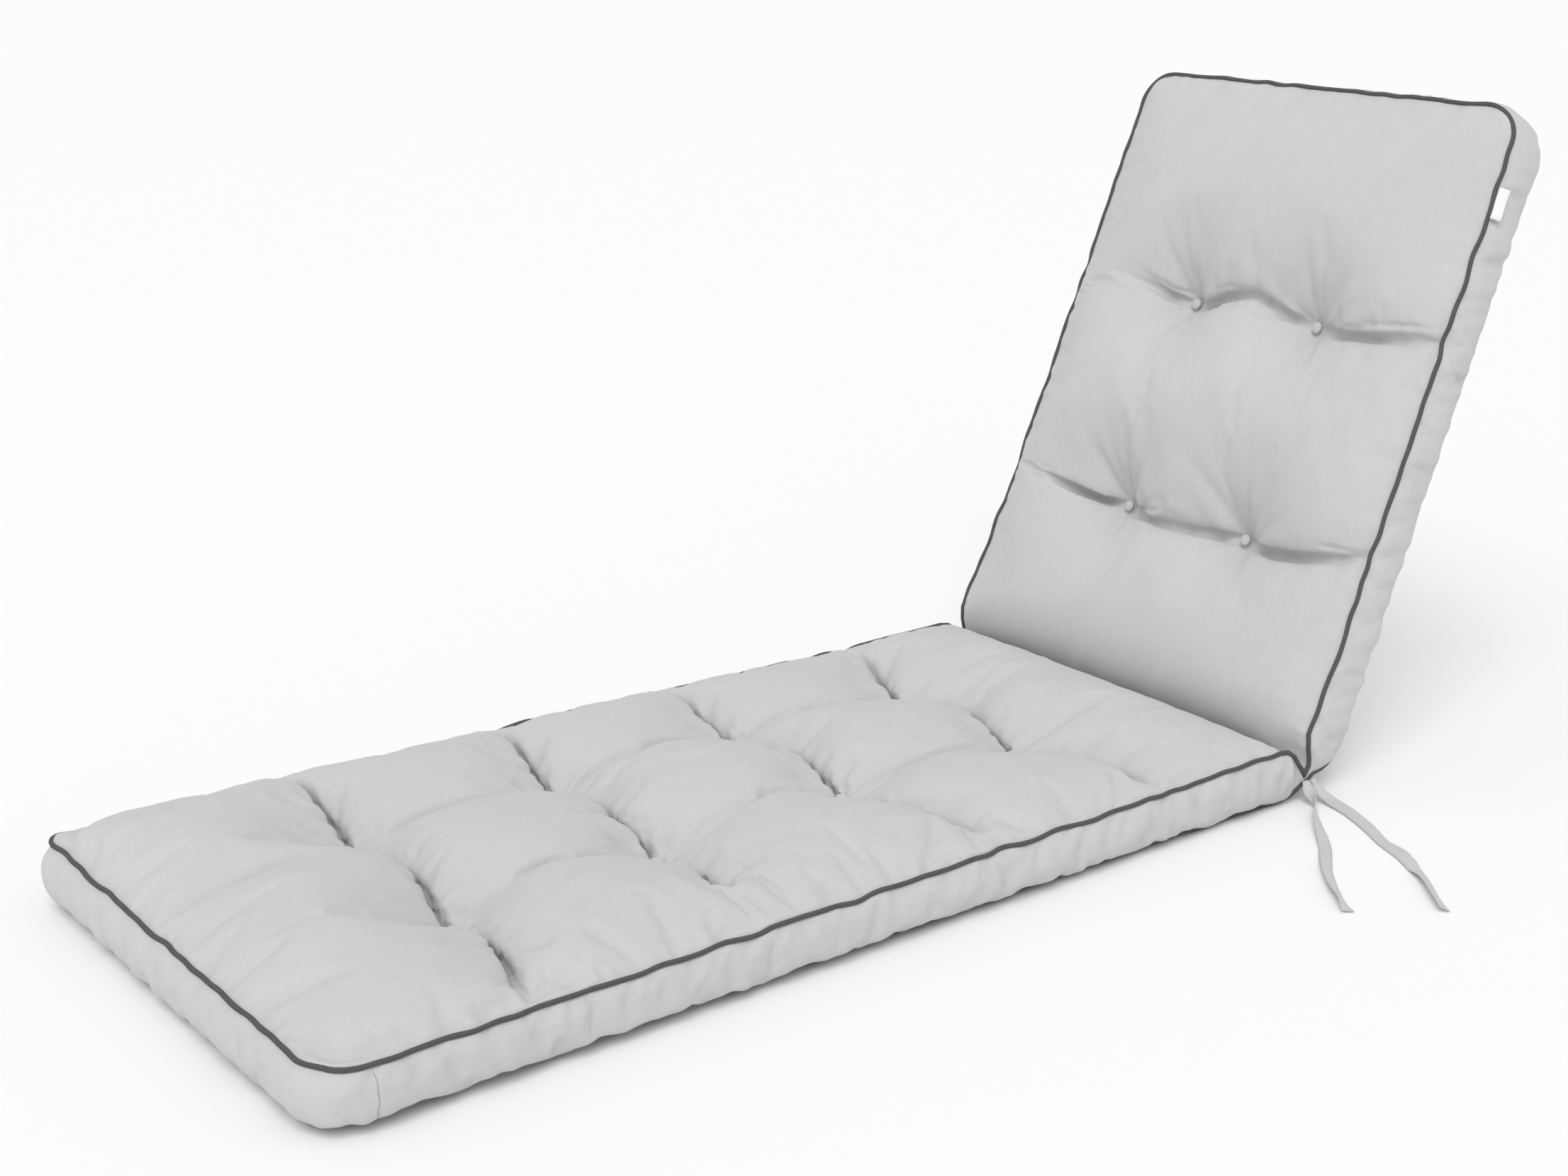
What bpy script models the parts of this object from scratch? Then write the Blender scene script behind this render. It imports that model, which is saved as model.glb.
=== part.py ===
"""Sun lounger cushion: a long seat section lying flat and a back section folded up at a sewn line.

Metres. +X runs from the foot to the head, -Y is the near side, +Z is up.
"""

from dataclasses import dataclass
from math import cos, pi, radians, sin

import bpy
import numpy as np


@dataclass(frozen=True)
class Cushion:
    """Sizes of the padded body. Lengths run along the cushion from the sewn fold."""

    width: float = 0.570  # piping line to piping line
    seat: float = 1.220
    back: float = 0.780
    recline: float = radians(67.0)
    fold_z: float = 0.0257  # height of the sewn fold above the floor
    corner: float = 0.045  # plan radius of the outer corners
    far_foot_corner: float = 0.030
    bulge: float = 0.007  # how far the side band swells outward
    foot_bulge: float = 0.015
    end_tuck: float = 0.009  # how far the lower seam lies in at the ends
    corner_tuck: float = 0.006  # and at the corners
    groove: float = 0.006  # rounding of the groove at the fold
    swell: float = 0.004  # how far the filling lifts the puffs


@dataclass(frozen=True)
class Tufts:
    """Where the cushion is tied through, and how deep."""

    first: float = 0.235  # from the foot edge
    pitch: float = 0.240
    count: int = 4
    back_rows: tuple = (0.237, 0.500)  # from the fold
    half_gap: float = 0.095  # from the middle line
    seat_floors: tuple = (-0.014, -0.013, -0.006, -0.012)  # from the panel's base
    middles: tuple = (0.006, 0.014, 0.017, 0.007, 0.0, 0.0)  # each row's middle from the middle line
    back_floor: float = -0.024
    rear_dimple: float = 0.010
    spread: float = 0.036
    flat: float = 0.0150


@dataclass(frozen=True)
class Trim:
    """Sizes of the sewn and fitted pieces."""

    piping: float = 0.0025  # radius of the cord in the seams
    sides: int = 6
    notch_in: float = 0.0056  # the cover's clearance round the cord
    notch_out: float = 0.0014
    button: float = 0.0068  # radius
    button_height: float = 0.0058
    button_lift: float = 0.0021
    tie_width: float = 0.014
    tie_thickness: float = 0.0016
    label_length: float = 0.036
    label_thickness: float = 0.0010
    label_from_fold: float = 0.650


BODY = Cushion()
TUFT = Tufts()
TRIM = Trim()

# Height of each seam from the fold line, and how far the lower seam is tucked in under the side band:
# (distance from the fold, top, bottom, tuck).
SEAMS = (
    (-1.220, 0.0400, -0.0195, 0.0170),
    (-1.120, 0.0383, -0.0180, 0.0170),
    (-0.600, 0.0383, -0.0195, 0.0140),
    (-0.200, 0.0383, -0.0210, 0.0120),
    (-0.100, 0.0410, -0.0218, 0.0100),
    (-0.047, 0.0404, -0.0215, 0.0080),
    (-0.033, 0.0372, -0.0200, 0.0055),
    (-0.022, 0.0300, -0.0165, 0.0025),
    (-0.013, 0.0185, -0.0105, 0.0000),
    (-0.006, 0.0100, -0.0060, 0.0000),
    (0.000, 0.0050, -0.0045, 0.0000),
    (0.007, 0.0030, -0.0105, 0.0000),
    (0.014, 0.0015, -0.0230, 0.0010),
    (0.022, 0.0050, -0.0345, 0.0030),
    (0.033, 0.0130, -0.0430, 0.0050),
    (0.048, 0.0200, -0.0480, 0.0070),
    (0.078, 0.0185, -0.0480, 0.0080),
    (0.130, 0.0156, -0.0480, 0.0085),
    (0.780, 0.0150, -0.0480, 0.0085),
)

# How the far side differs from the near side: (distance from the fold, further out, higher).
FAR_SIDE = (
    (-1.220, 0.0500, 0.0065),
    (-1.195, 0.0460, 0.0020),
    (-1.150, 0.0400, -0.0010),
    (-1.000, 0.0290, 0.0010),
    (-0.600, 0.0170, 0.0030),
    (-0.250, 0.0055, -0.0015),
    (-0.060, 0.0010, -0.0020),
    (0.000, 0.0020, 0.0000),
    (0.020, 0.0060, 0.0040),
    (0.060, 0.0065, 0.0050),
    (0.200, 0.0000, 0.0020),
    (0.400, -0.0030, 0.0000),
    (0.550, -0.0055, 0.0000),
    (0.780, -0.0080, -0.0010),
)

# The side band's section from the upper seam to the lower one:
# (share, out in bulges, in in tucks, down in heights).
BAND_SECTION = (
    (0.00, 0.00, 0.00, 0.00),
    (0.14, 0.62, 0.00, 0.13),
    (0.28, 0.92, 0.00, 0.29),
    (0.42, 1.00, 0.00, 0.45),
    (0.56, 0.96, 0.00, 0.62),
    (0.70, 0.78, 0.00, 0.79),
    (0.82, 0.36, 0.05, 0.93),
    (0.92, 0.00, 0.48, 1.00),
    (1.00, 0.00, 1.00, 1.00),
)

# How high the puffs stand along the cushion: (distance from the fold, crown).
CROWN = (
    (-1.220, 0.043),
    (-0.985, 0.041),
    (-0.620, 0.034),
    (-0.380, 0.032),
    (-0.120, 0.026),
    (0.000, 0.030),
    (0.120, 0.036),
    (0.370, 0.042),
    (0.600, 0.040),
    (0.780, 0.036),
)

# How deep the fold across each tuft row is: (distance across, seat, back).
FOLD_DEPTH = (
    (-0.285, 0.000, 0.006),
    (-0.250, 0.012, 0.016),
    (-0.190, 0.032, 0.030),
    (-0.110, 0.042, 0.038),
    (-0.050, 0.042, 0.038),
    (0.000, 0.038, 0.034),
    (0.050, 0.040, 0.038),
    (0.110, 0.042, 0.038),
    (0.150, 0.038, 0.024),
    (0.190, 0.034, 0.005),
    (0.215, 0.022, 0.000),
    (0.260, 0.006, 0.000),
    (0.285, 0.000, 0.000),
)

# How far each tuft row's fold wanders along the cushion: (distance across, row 1, 2, 3, 4, back 1, 2).
ROW_SHIFT = (
    (-0.285, -0.030, -0.012, 0.042, 0.046, 0.017, 0.018),
    (-0.250, -0.026, -0.010, 0.036, 0.038, 0.006, 0.004),
    (-0.200, -0.012, -0.008, 0.028, 0.040, -0.005, -0.005),
    (-0.150, -0.004, -0.002, 0.012, 0.030, -0.004, -0.004),
    (-0.095, 0.000, 0.000, 0.000, 0.000, 0.000, 0.000),
    (-0.060, -0.003, 0.002, 0.006, 0.008, -0.004, 0.010),
    (-0.015, 0.006, 0.000, 0.016, 0.018, -0.007, 0.024),
    (0.030, 0.009, 0.012, 0.026, 0.034, -0.004, 0.000),
    (0.060, 0.006, 0.014, 0.022, 0.030, -0.002, -0.006),
    (0.095, 0.000, 0.000, 0.000, 0.000, 0.000, 0.000),
    (0.150, 0.004, 0.006, 0.003, 0.012, 0.002, 0.002),
    (0.210, 0.012, 0.022, 0.013, 0.040, 0.004, 0.006),
    (0.285, 0.018, 0.036, 0.024, 0.060, 0.006, 0.010),
)


def table(rows, at, column=1):
    """Reads values off a table by straight lines between its rows."""
    return np.interp(at, [row[0] for row in rows], [row[column] for row in rows])


def unit(vectors):
    return vectors / np.linalg.norm(vectors, axis=-1, keepdims=True)


def directions(s):
    """The directions along and out of the cushion at distances s from the fold."""
    lean = np.where(s > 0, BODY.recline, 0.0)
    lean = np.where(s == 0, BODY.recline / 2, lean)
    along = np.stack([np.cos(lean), 0 * lean, np.sin(lean)], -1)
    out = np.stack([-np.sin(lean), 0 * lean, np.cos(lean)], -1)
    return along, out


def far_out(s, y):
    """How much further out the far side lies."""
    return table(FAR_SIDE, s, 1) * np.clip((y - 0.10) / (BODY.width / 2 - 0.10), 0, 1) ** 1.5


def far_up(s, y):
    """How much higher the far side lies."""
    return table(FAR_SIDE, s, 2) * np.clip(y / (BODY.width / 2), 0, 1) ** 2


def place(s, y, height):
    """Points at a distance along, a distance across and a height above the fold line."""
    s, y, height = np.broadcast_arrays(np.asarray(s, float), y, height)
    along, out = directions(s)
    point = np.array([0.0, 0.0, BODY.fold_z]) + along * s[..., None] + out * height[..., None]
    point[..., 1] += y + far_out(s, y)
    return point


def tuft_rows():
    """Every tuft row: (distance from the fold, floor height, column of its shifts)."""
    seat = [-BODY.seat + TUFT.first + TUFT.pitch * i for i in range(TUFT.count)]
    rows = [(s, TUFT.seat_floors[i], 1 + i) for i, s in enumerate(seat)]
    return rows + [(s, TUFT.back_floor, 5 + i) for i, s in enumerate(TUFT.back_rows)]


def tufts():
    """Every tuft: (distance from the fold, distance across, floor height)."""
    return [(s, y, floor) for s, floor, column in tuft_rows() for y in centres(column)]


def centres(column):
    """How far across the two tufts of a row lie."""
    middle = TUFT.middles[column - 1]
    return middle - TUFT.half_gap, middle + TUFT.half_gap


def row_shift(y, column):
    """How far a row's fold wanders along the cushion."""
    return table(ROW_SHIFT, y - TUFT.middles[column - 1], column)


def room(s, y):
    """The distances from the side seams and from the end seams."""
    side = np.maximum(BODY.width / 2 - np.abs(y), 0)
    return side, np.maximum(np.minimum(s + BODY.seat, BODY.back - s), 0)


def base_height(s, y):
    """Height of the upper panel's base: the seam's own at the edge, a smooth rise behind the fold."""
    edge = np.exp(-room(s, y)[0] / 0.030)
    smooth_base = 0.005 + 0.0125 * (1 - np.exp(-np.maximum(s, 0) / 0.030))
    seam = table(SEAMS, s, 1)
    return np.where(s > 0, seam * edge + smooth_base * (1 - edge), seam)


def column_valleys():
    """The stretches where a valley runs along the cushion: (from, to, depth)."""
    seat = [row[0] for row in tuft_rows() if row[0] < 0]
    found = [(a, b, 0.016) for a, b in zip(seat, seat[1:])]
    return found + [(seat[-1], seat[-1] + 0.14, 0.007), (seat[0] - 0.08, seat[0], 0.005)]


def top_height(s, y):
    """Height of the upper panel above the fold line, with its puffs and folds."""
    side_room, end_room = room(s, y)
    foot = np.clip((-s - 0.85) / 0.25, 0, 1) * np.clip((y - 0.05) / 0.15, 0, 1)
    side = 1 - np.exp(-side_room / (np.where(y > 0, 0.064, 0.080) - 0.026 * foot))
    ends = 1 - np.exp(-end_room / (0.055 - 0.025 * foot))
    fold = 1 - np.exp(-np.abs(s) / np.where(s < 0, 0.090, 0.028))
    height = (table(CROWN, s) + BODY.swell) * side * ends * fold
    height += 0.008 * (1 - np.exp(-side_room / 0.030)) * np.exp(-(((s - 0.070) / 0.040) ** 2))
    for row, _, column in tuft_rows():
        off = s - row - row_shift(y, column)
        steep = off < 0 if row < 0 else off > 0
        wide = np.where(steep, 0.013 if row < 0 else 0.017, 0.024)
        height -= table(FOLD_DEPTH, y, 1 if row < 0 else 2) * np.exp(-np.abs(off) / wide)
    middle = np.interp(s, [row[0] for row in tuft_rows()], TUFT.middles)
    for low, high, depth in column_valleys():
        inside = np.clip((s - low) / 0.02, 0, 1) * np.clip((high - s) / 0.02, 0, 1)
        for centre in (-TUFT.half_gap, TUFT.half_gap):
            height -= depth * inside * np.exp(-np.abs(y - middle - centre) / 0.030)
    for row, centre, floor in tufts():
        away = np.maximum(np.hypot(s - row, y - centre) - TUFT.flat * 0.6, 0.0)
        pull = np.exp(-away / TUFT.spread)
        height = height * (1 - pull) + floor * pull
    return height + base_height(s, y) + far_up(s, y)


def bottom_height(s, y):
    """Height of the lower panel: flat on the floor under the seat, nearly flat behind the back."""
    side_room, end_room = room(s, y)
    nearest = np.minimum(side_room, end_room) - table(SEAMS, s, 3)
    share = np.clip(np.minimum(nearest / 0.025, np.abs(s) / 0.050), 0, 1)
    seam = table(SEAMS, s, 2)
    drop = np.where(s <= 0, BODY.fold_z + seam, 0.006)
    height = seam - drop * (1 - (1 - share) ** 2)
    for row, centre, _ in tufts():
        away = np.maximum(np.hypot(s - row, y - centre) - TUFT.flat, 0.0)
        height += TUFT.rear_dimple * np.clip(1 - away / 0.022, 0, 1) ** 2
    return np.where(s <= 0, np.maximum(height, -BODY.fold_z), height)


def part_groove(s, y, points):
    """Keeps the seat and the back on their own sides of the groove at the fold."""
    lean = (pi + BODY.recline) / 2
    normal = np.array([-sin(lean), 0.0, cos(lean)])
    away = (points - np.array([0.0, 0.0, BODY.fold_z])) @ normal
    side = np.where(s < 0, 1.0, -1.0)
    depth = away * side
    wanted = (depth + np.sqrt(depth**2 + BODY.groove**2)) / 2
    close = (np.abs(s) > 0.004) & (np.abs(s) < 0.12)
    shift = np.where(close, (wanted - depth) * side, 0.0)
    return points + shift[..., None] * normal


def stations(low, high, marks, near, between):
    """Grid lines from low to high: close at each mark, wider between them."""
    lines = {round(low, 5), round(high, 5)}
    for mark in marks:
        lines |= {round(mark + step, 5) for step in near}
    filled = sorted(lines)
    for a, b in zip(filled, filled[1:]):
        parts = max(1, round((b - a) / between))
        lines |= {round(a + (b - a) * i / parts, 5) for i in range(1, parts)}
    return sorted(lines)


def along_lines():
    """Grid lines along the cushion: close at each tuft row, at the fold and at the ends."""
    close = (-0.046, -0.024, -0.0065, 0.0065, 0.024, 0.046)
    rows = [row[0] for row in tuft_rows()]
    seat = stations(-BODY.seat, -0.130, [r for r in rows if r < 0], close, 0.060)
    back = stations(0.130, BODY.back, [r for r in rows if r > 0], close, 0.060)
    ends = [-BODY.seat + d for d in (0.012, 0.026, 0.045)] + [BODY.back - d for d in (0.012, 0.026, 0.045)]
    fold = [row[0] for row in SEAMS if abs(row[0]) < 0.131] + [-0.130, -0.072]
    kept = [s for s in seat + back if not 0 < min(s + BODY.seat, BODY.back - s) < 0.055]
    return np.array(sorted(set(kept + ends + fold)))


def across_lines():
    """Grid lines across the cushion: close at the tufts and at the sides."""
    half = BODY.width / 2
    marks = (-TUFT.half_gap, TUFT.half_gap)
    inner = stations(-half + 0.045, half - 0.045, marks, (-0.028, -0.0065, 0.0065, 0.028), 0.055)
    edges = [side * (half - d) for side in (-1, 1) for d in (0.0, 0.012, 0.026)]
    return np.array(sorted(set(inner + edges)))


def corner_size(s, y):
    """The nearest end and the radius of the nearest outer corner."""
    foot = s < -BODY.seat / 2
    radius = np.where(foot & (y > 0), BODY.far_foot_corner, BODY.corner)
    return np.where(foot, -BODY.seat, BODY.back), radius


def rounded(s, y):
    """Moves grid points near the outer corners so that the outline has round corners."""
    half = BODY.width / 2
    end, radius = corner_size(s, y)
    a = 1 - np.abs(s - end) / radius
    b = 1 - (half - np.abs(y)) / radius
    near = (a > 0) & (b > 0)
    a, b = np.clip(a, 0, 1), np.clip(b, 0, 1)
    round_a, round_b = a * np.sqrt(1 - b * b / 2), b * np.sqrt(1 - a * a / 2)
    new_s = end - np.sign(end) * (1 - round_a) * radius
    new_y = np.sign(y) * (half - (1 - round_b) * radius)
    return np.where(near, new_s, s), np.where(near, new_y, y)


def between_edges(values, edge):
    """Fills a grid from new values on its border, so that the inner points follow the border."""
    u = ((values[0] - values[0][0, 0]) / (values[0][-1, 0] - values[0][0, 0]))[..., None]
    v = ((values[1] - values[1][0, 0]) / (values[1][0, -1] - values[1][0, 0]))[..., None]
    move = edge
    first, last, near, far = move[:1], move[-1:], move[:, :1], move[:, -1:]
    corners = (1 - u) * (1 - v) * move[0, 0] + u * (1 - v) * move[-1, 0]
    corners += (1 - u) * v * move[0, -1] + u * v * move[-1, -1]
    return (1 - u) * first + u * last + (1 - v) * near + v * far - corners


class Body:
    """The padded solid: two panels and the side band between them, in one closed mesh."""

    band_shares = (0.0, 0.14, 0.42, 0.70, 0.86, 1.0)

    def __init__(self):
        lines, self.y = along_lines(), across_lines()
        s, y = np.meshgrid(lines, self.y, indexing="ij")
        inside = np.clip((BODY.width / 2 - np.abs(y)) / (BODY.width / 2 - TUFT.half_gap - 0.030), 0, 1)
        plain_s, plain_y = s, y
        for row, _, column in tuft_rows():
            near = np.clip(1 - np.abs(plain_s - row) / 0.11, 0, 1)
            s = s + table(ROW_SHIFT, plain_y, column) * near
            y = y + TUFT.middles[column - 1] * inside * np.minimum(near / 0.9, 1)
        self.grid = rounded(s, y)
        self.plain = (s, y)
        self.loop = self.outline(*s.shape)
        i, j = np.array(self.loop).T
        self.edge_s, self.edge_y = self.grid[0][i, j], self.grid[1][i, j]
        self.outward = self.outward_directions()
        sideways = self.outward[:, 1] ** 2
        self.tuck = table(SEAMS, self.edge_s, 3) * sideways + BODY.end_tuck * (1 - sideways)
        self.tuck += 4 * sideways * (1 - sideways) * BODY.corner_tuck
        self.top_line = place(self.edge_s, self.edge_y, table(SEAMS, self.edge_s, 1) + far_up(self.edge_s, self.edge_y))
        self.low_line = place(self.edge_s, self.edge_y, table(SEAMS, self.edge_s, 2))
        self.bottom_line = self.low_line - self.outward * self.tuck[:, None]

    @staticmethod
    def outline(n, m):
        """The grid indices round the edge, anticlockwise from above, starting at the near foot corner."""
        near = [(i, 0) for i in range(n - 1)]
        head = [(n - 1, j) for j in range(m - 1)]
        far = [(i, m - 1) for i in range(n - 1, 0, -1)]
        return near + head + far + [(0, j) for j in range(m - 1, 0, -1)]

    def outward_directions(self):
        """The direction out of the cushion's edge at each outline point."""
        s, y = self.edge_s, self.edge_y
        half = BODY.width / 2
        along, _ = directions(s)
        end, radius = corner_size(s, y)
        across = np.array([0.0, 1.0, 0.0])
        centre_s, centre_y = end - np.sign(end) * radius, np.sign(y) * (half - radius)
        past = (s - centre_s) * np.sign(end) > 1e-9
        wide = np.abs(y) > half - radius + 1e-9
        angle = np.arctan2(y - centre_y, s - centre_s)
        turned = along * np.cos(angle)[:, None] + across * np.sin(angle)[:, None]
        sideways, endways = across * np.sign(y)[:, None], along * np.sign(end)[:, None]
        return np.where((past & wide)[:, None], turned, np.where(wide[:, None], sideways, endways))

    def upward(self, line):
        """The direction out of the panel at each outline point, square to the seam and to outward."""
        ahead = unit(np.roll(line, -1, 0) - line)
        return unit(np.cross(self.outward, unit(ahead + np.roll(ahead, 1, 0))))

    def panels(self, up, down):
        """The points of the upper and the lower panel."""
        i, j = np.array(self.loop).T
        s, y = self.grid
        top = part_groove(s, y, place(s, y, top_height(s, y)))
        top[i, j] = self.top_line - self.outward * TRIM.notch_in + up * TRIM.notch_out
        move = np.zeros((*s.shape, 2))
        endways = (self.outward * directions(self.edge_s)[0]).sum(1)
        move[i, j] = -np.stack([endways, self.outward[:, 1]], 1) * self.tuck[:, None]
        shift = between_edges(self.plain, move)
        low_s, low_y = s + shift[..., 0], y + shift[..., 1]
        bottom = place(low_s, low_y, bottom_height(low_s, low_y))
        bottom[i, j] = self.bottom_line - self.outward * TRIM.notch_in - down * TRIM.notch_out
        return top, bottom

    def band(self, up, down):
        """The side band's rows of points from the upper seam to the lower one."""
        tall = np.linalg.norm(self.top_line - self.low_line, axis=1)
        full = np.clip((tall - 0.012) / 0.030, 0, 1)
        inset = (TRIM.notch_in * full + tall * 0.33 * (1 - full))[:, None]
        high, low = self.top_line - up * inset, self.low_line + down * inset
        footward = np.where(self.edge_s < 0, 1 - self.outward[:, 1] ** 2, 0.0)
        swelling = BODY.bulge + (BODY.foot_bulge - BODY.bulge) * footward
        rows = []
        for share in self.band_shares:
            out, tucked, fall = (table(BAND_SECTION, share, column) for column in (1, 2, 3))
            swell = -0.0036 * (1 - full) + full * (TRIM.notch_out + swelling * out) - self.tuck * tucked
            rows.append(high + (low - high) * fall + self.outward * swell[:, None])
        return rows

    def mesh(self):
        """The closed mesh as points and faces."""
        up, down = self.upward(self.top_line), self.upward(self.bottom_line)
        top, bottom = self.panels(up, down)
        n, m = top.shape[:2]
        points = [top.reshape(-1, 3), bottom.reshape(-1, 3), *self.band(up, down)]
        faces = []
        for i in range(n - 1):
            for j in range(m - 1):
                a = i * m + j
                quad = (a, a + m, a + m + 1, a + 1)
                faces.append(quad)
                faces.append(tuple(n * m + v for v in reversed(quad)))
        edge = np.array([i * m + j for i, j in self.loop])
        count = len(edge)
        inner = [2 * n * m + r * count + np.arange(count) for r in range(len(self.band_shares))]
        rows = [edge, *inner, edge + n * m]
        for upper, lower in zip(rows, rows[1:]):
            for k in range(count):
                after = (k + 1) % count
                faces.append((int(upper[k]), int(lower[k]), int(lower[after]), int(upper[after])))
        return np.concatenate(points), faces


def kept_stations(line, within=0.00012):
    """Drops the points of a closed line that a straight run passes through."""
    kept = [0]
    count = len(line)
    for k in range(1, count):
        start, end = line[kept[-1]], line[(k + 1) % count]
        reach = unit(end - start)
        spare = all(
            np.linalg.norm(np.cross(line[i] - start, reach)) < within
            for i in range(kept[-1] + 1, k + 1)
        )
        if not spare or np.linalg.norm(end - start) > 0.30:
            kept.append(k)
    return kept


def tube(line, outward, radius, sides):
    """A closed ring of cord along a line."""
    ahead = np.roll(line, -1, 0) - line
    behind = line - np.roll(line, 1, 0)
    ahead /= np.linalg.norm(ahead, axis=1)[:, None]
    behind /= np.linalg.norm(behind, axis=1)[:, None]
    points, faces = [], []
    for k in range(len(line)):
        tangent = unit(ahead[k] + behind[k])
        side = unit(outward[k] - tangent * np.dot(outward[k], tangent))
        other = np.cross(tangent, side)
        bend = unit(ahead[k] - behind[k]) if np.linalg.norm(ahead[k] - behind[k]) > 1e-6 else other
        stretch = min(1 / max(np.dot(tangent, ahead[k]), 0.5), 1.6) - 1
        for q in range(sides):
            angle = 2 * pi * q / sides
            ring = (side * cos(angle) + other * sin(angle)) * radius
            points.append(line[k] + ring + bend * np.dot(ring, bend) * stretch)
    count = len(line)
    for k in range(count):
        a, b = k * sides, ((k + 1) % count) * sides
        for q in range(sides):
            after = (q + 1) % sides
            faces.append((a + q, a + after, b + after, b + q))
    return np.array(points), faces


def ribbon(path, width_of, side_of, thickness):
    """A flat strip along a path. side_of gives the direction across it at a share of its length."""
    path = np.array(path)
    count = len(path)
    points, faces = [], []
    for k in range(count):
        ahead = path[min(k + 1, count - 1)] - path[max(k - 1, 0)]
        tangent = unit(ahead)
        across = side_of(k / (count - 1), tangent)
        across = unit(across - tangent * np.dot(across, tangent))
        face = np.cross(tangent, across)
        for a, b in ((-1, -1), (1, -1), (1, 1), (-1, 1)):
            points.append(path[k] + across * a * width_of(k / (count - 1)) / 2 + face * b * thickness / 2)
    for k in range(count - 1):
        a, b = k * 4, (k + 1) * 4
        for q in range(4):
            after = (q + 1) % 4
            faces.append((a + q, a + after, b + after, b + q))
    faces.append((3, 2, 1, 0))
    faces.append(tuple((count - 1) * 4 + q for q in range(4)))
    return np.array(points), faces


def smooth(points, steps):
    """A Catmull-Rom curve through the points, with an even number of steps between them."""
    points = [np.array(p, float) for p in points]
    padded = [2 * points[0] - points[1]] + points + [2 * points[-1] - points[-2]]
    out = []
    for p0, p1, p2, p3 in zip(padded, padded[1:], padded[2:], padded[3:]):
        for q in range(steps):
            t = q / steps
            bend = (2 * p0 - 5 * p1 + 4 * p2 - p3) * t**2 + (3 * p1 - p0 - 3 * p2 + p3) * t**3
            out.append(0.5 * (2 * p1 + (p2 - p0) * t + bend))
    return np.array(out + [points[-1]])


# Each tie's middle line: (x from the fold, y, lowest height of the strip, lean of the strip in degrees).
LONG_TIE = (
    (0.0065, -0.2905, 0.0235, 10),
    (0.0085, -0.2970, 0.0120, 10),
    (0.0090, -0.3130, 0.0035, 15),
    (0.0040, -0.3430, 0.0004, 18),
    (-0.0130, -0.3860, 0.0003, 12),
    (-0.0300, -0.4190, 0.0003, 5),
    (-0.0480, -0.4620, 0.0003, 25),
    (-0.0730, -0.5060, 0.0003, -26),
    (-0.1040, -0.5460, 0.0003, -38),
    (-0.1180, -0.5670, 0.0003, -28),
)
SHORT_TIE = (
    (-0.0065, -0.2905, 0.0235, -168),
    (-0.0078, -0.2970, 0.0125, -155),
    (-0.0140, -0.3100, 0.0035, -108),
    (-0.0300, -0.3270, 0.0004, -72),
    (-0.0500, -0.3470, 0.0003, -42),
    (-0.0900, -0.3900, 0.0003, -2),
    (-0.1320, -0.4270, 0.0003, -22),
    (-0.1630, -0.4610, 0.0003, -30),
    (-0.1860, -0.4920, 0.0003, -42),
    (-0.1960, -0.5080, 0.0003, -12),
)


def tie(rows):
    """A folded cloth strip that comes out of the seam at the fold and lies on the floor."""
    steps = smooth([(x, y, low) for x, y, low, _ in rows], 3)
    leans = smooth([(lean, 0, 0) for *_, lean in rows], 3)[:, 0]
    share_of = np.linspace(0, 1, len(steps))

    def width_of(share):
        return TRIM.tie_width * (0.55 + 0.45 * min(1.0, share / 0.12))

    middle = []
    for k, (x, y, low) in enumerate(steps):
        lean = radians(float(leans[k]))
        rise = abs(sin(lean)) * width_of(share_of[k]) / 2 + abs(cos(lean)) * TRIM.tie_thickness / 2
        middle.append((x, y, max(low, 0.0003) + rise))

    def side_of(share, tangent):
        lean = radians(float(np.interp(share, share_of, leans)))
        flat = unit(np.cross(np.array([0.0, 0.0, 1.0]), tangent))
        upright = np.cross(tangent, flat)
        return flat * cos(lean) + upright * sin(lean)

    return ribbon(middle, width_of, side_of, TRIM.tie_thickness)


def button(s, y, floor):
    """A low covered disc on the floor of a tuft."""
    along, out = directions(np.array(s))
    base = place(s, y, floor + base_height(s, y) + far_up(s, y)) + out * TRIM.button_lift
    across = np.array([0.0, 1.0, 0.0])
    rings = ((0.0, 0.62), (0.45, 1.0), (0.80, 0.80), (1.0, 0.36))
    sides = 10
    angle = np.arange(sides) * 2 * pi / sides
    circle = (along * np.cos(angle)[:, None] + across * np.sin(angle)[:, None]) * TRIM.button
    points = np.concatenate([base + circle * share + out * TRIM.button_height * high for high, share in rings])
    faces = [tuple(reversed(range(sides)))]
    for r in range(len(rings) - 1):
        for q in range(sides):
            after = (q + 1) % sides
            faces.append((r * sides + q, r * sides + after, (r + 1) * sides + after, (r + 1) * sides + q))
    faces.append(tuple((len(rings) - 1) * sides + q for q in range(sides)))
    return points, faces


def label_tab():
    """A blank tab sewn into the near front seam of the back, lying against the side band."""
    low, high = TRIM.label_from_fold, TRIM.label_from_fold + TRIM.label_length
    near = -BODY.width / 2
    start, end = np.array([0.0037, -0.0028]), np.array([0.0098, -0.0165])
    reach = unit(end - start)
    normal = np.array([-reach[1], reach[0]])
    corners = []
    for s in (low, high):
        for outward, up in (start, end, end + normal * TRIM.label_thickness, start + normal * TRIM.label_thickness):
            corners.append(place(s, near - outward, table(SEAMS, s, 1) + up))
    faces = [(0, 1, 2, 3), (7, 6, 5, 4)]
    for q in range(4):
        after = (q + 1) % 4
        faces.append((q, q + 4, after + 4, after))
    return np.array(corners), faces


def volume(points, faces):
    total = 0.0
    for face in faces:
        for b, c in zip(face[1:-1], face[2:]):
            total += np.dot(points[face[0]], np.cross(points[b], points[c]))
    return total / 6


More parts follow.
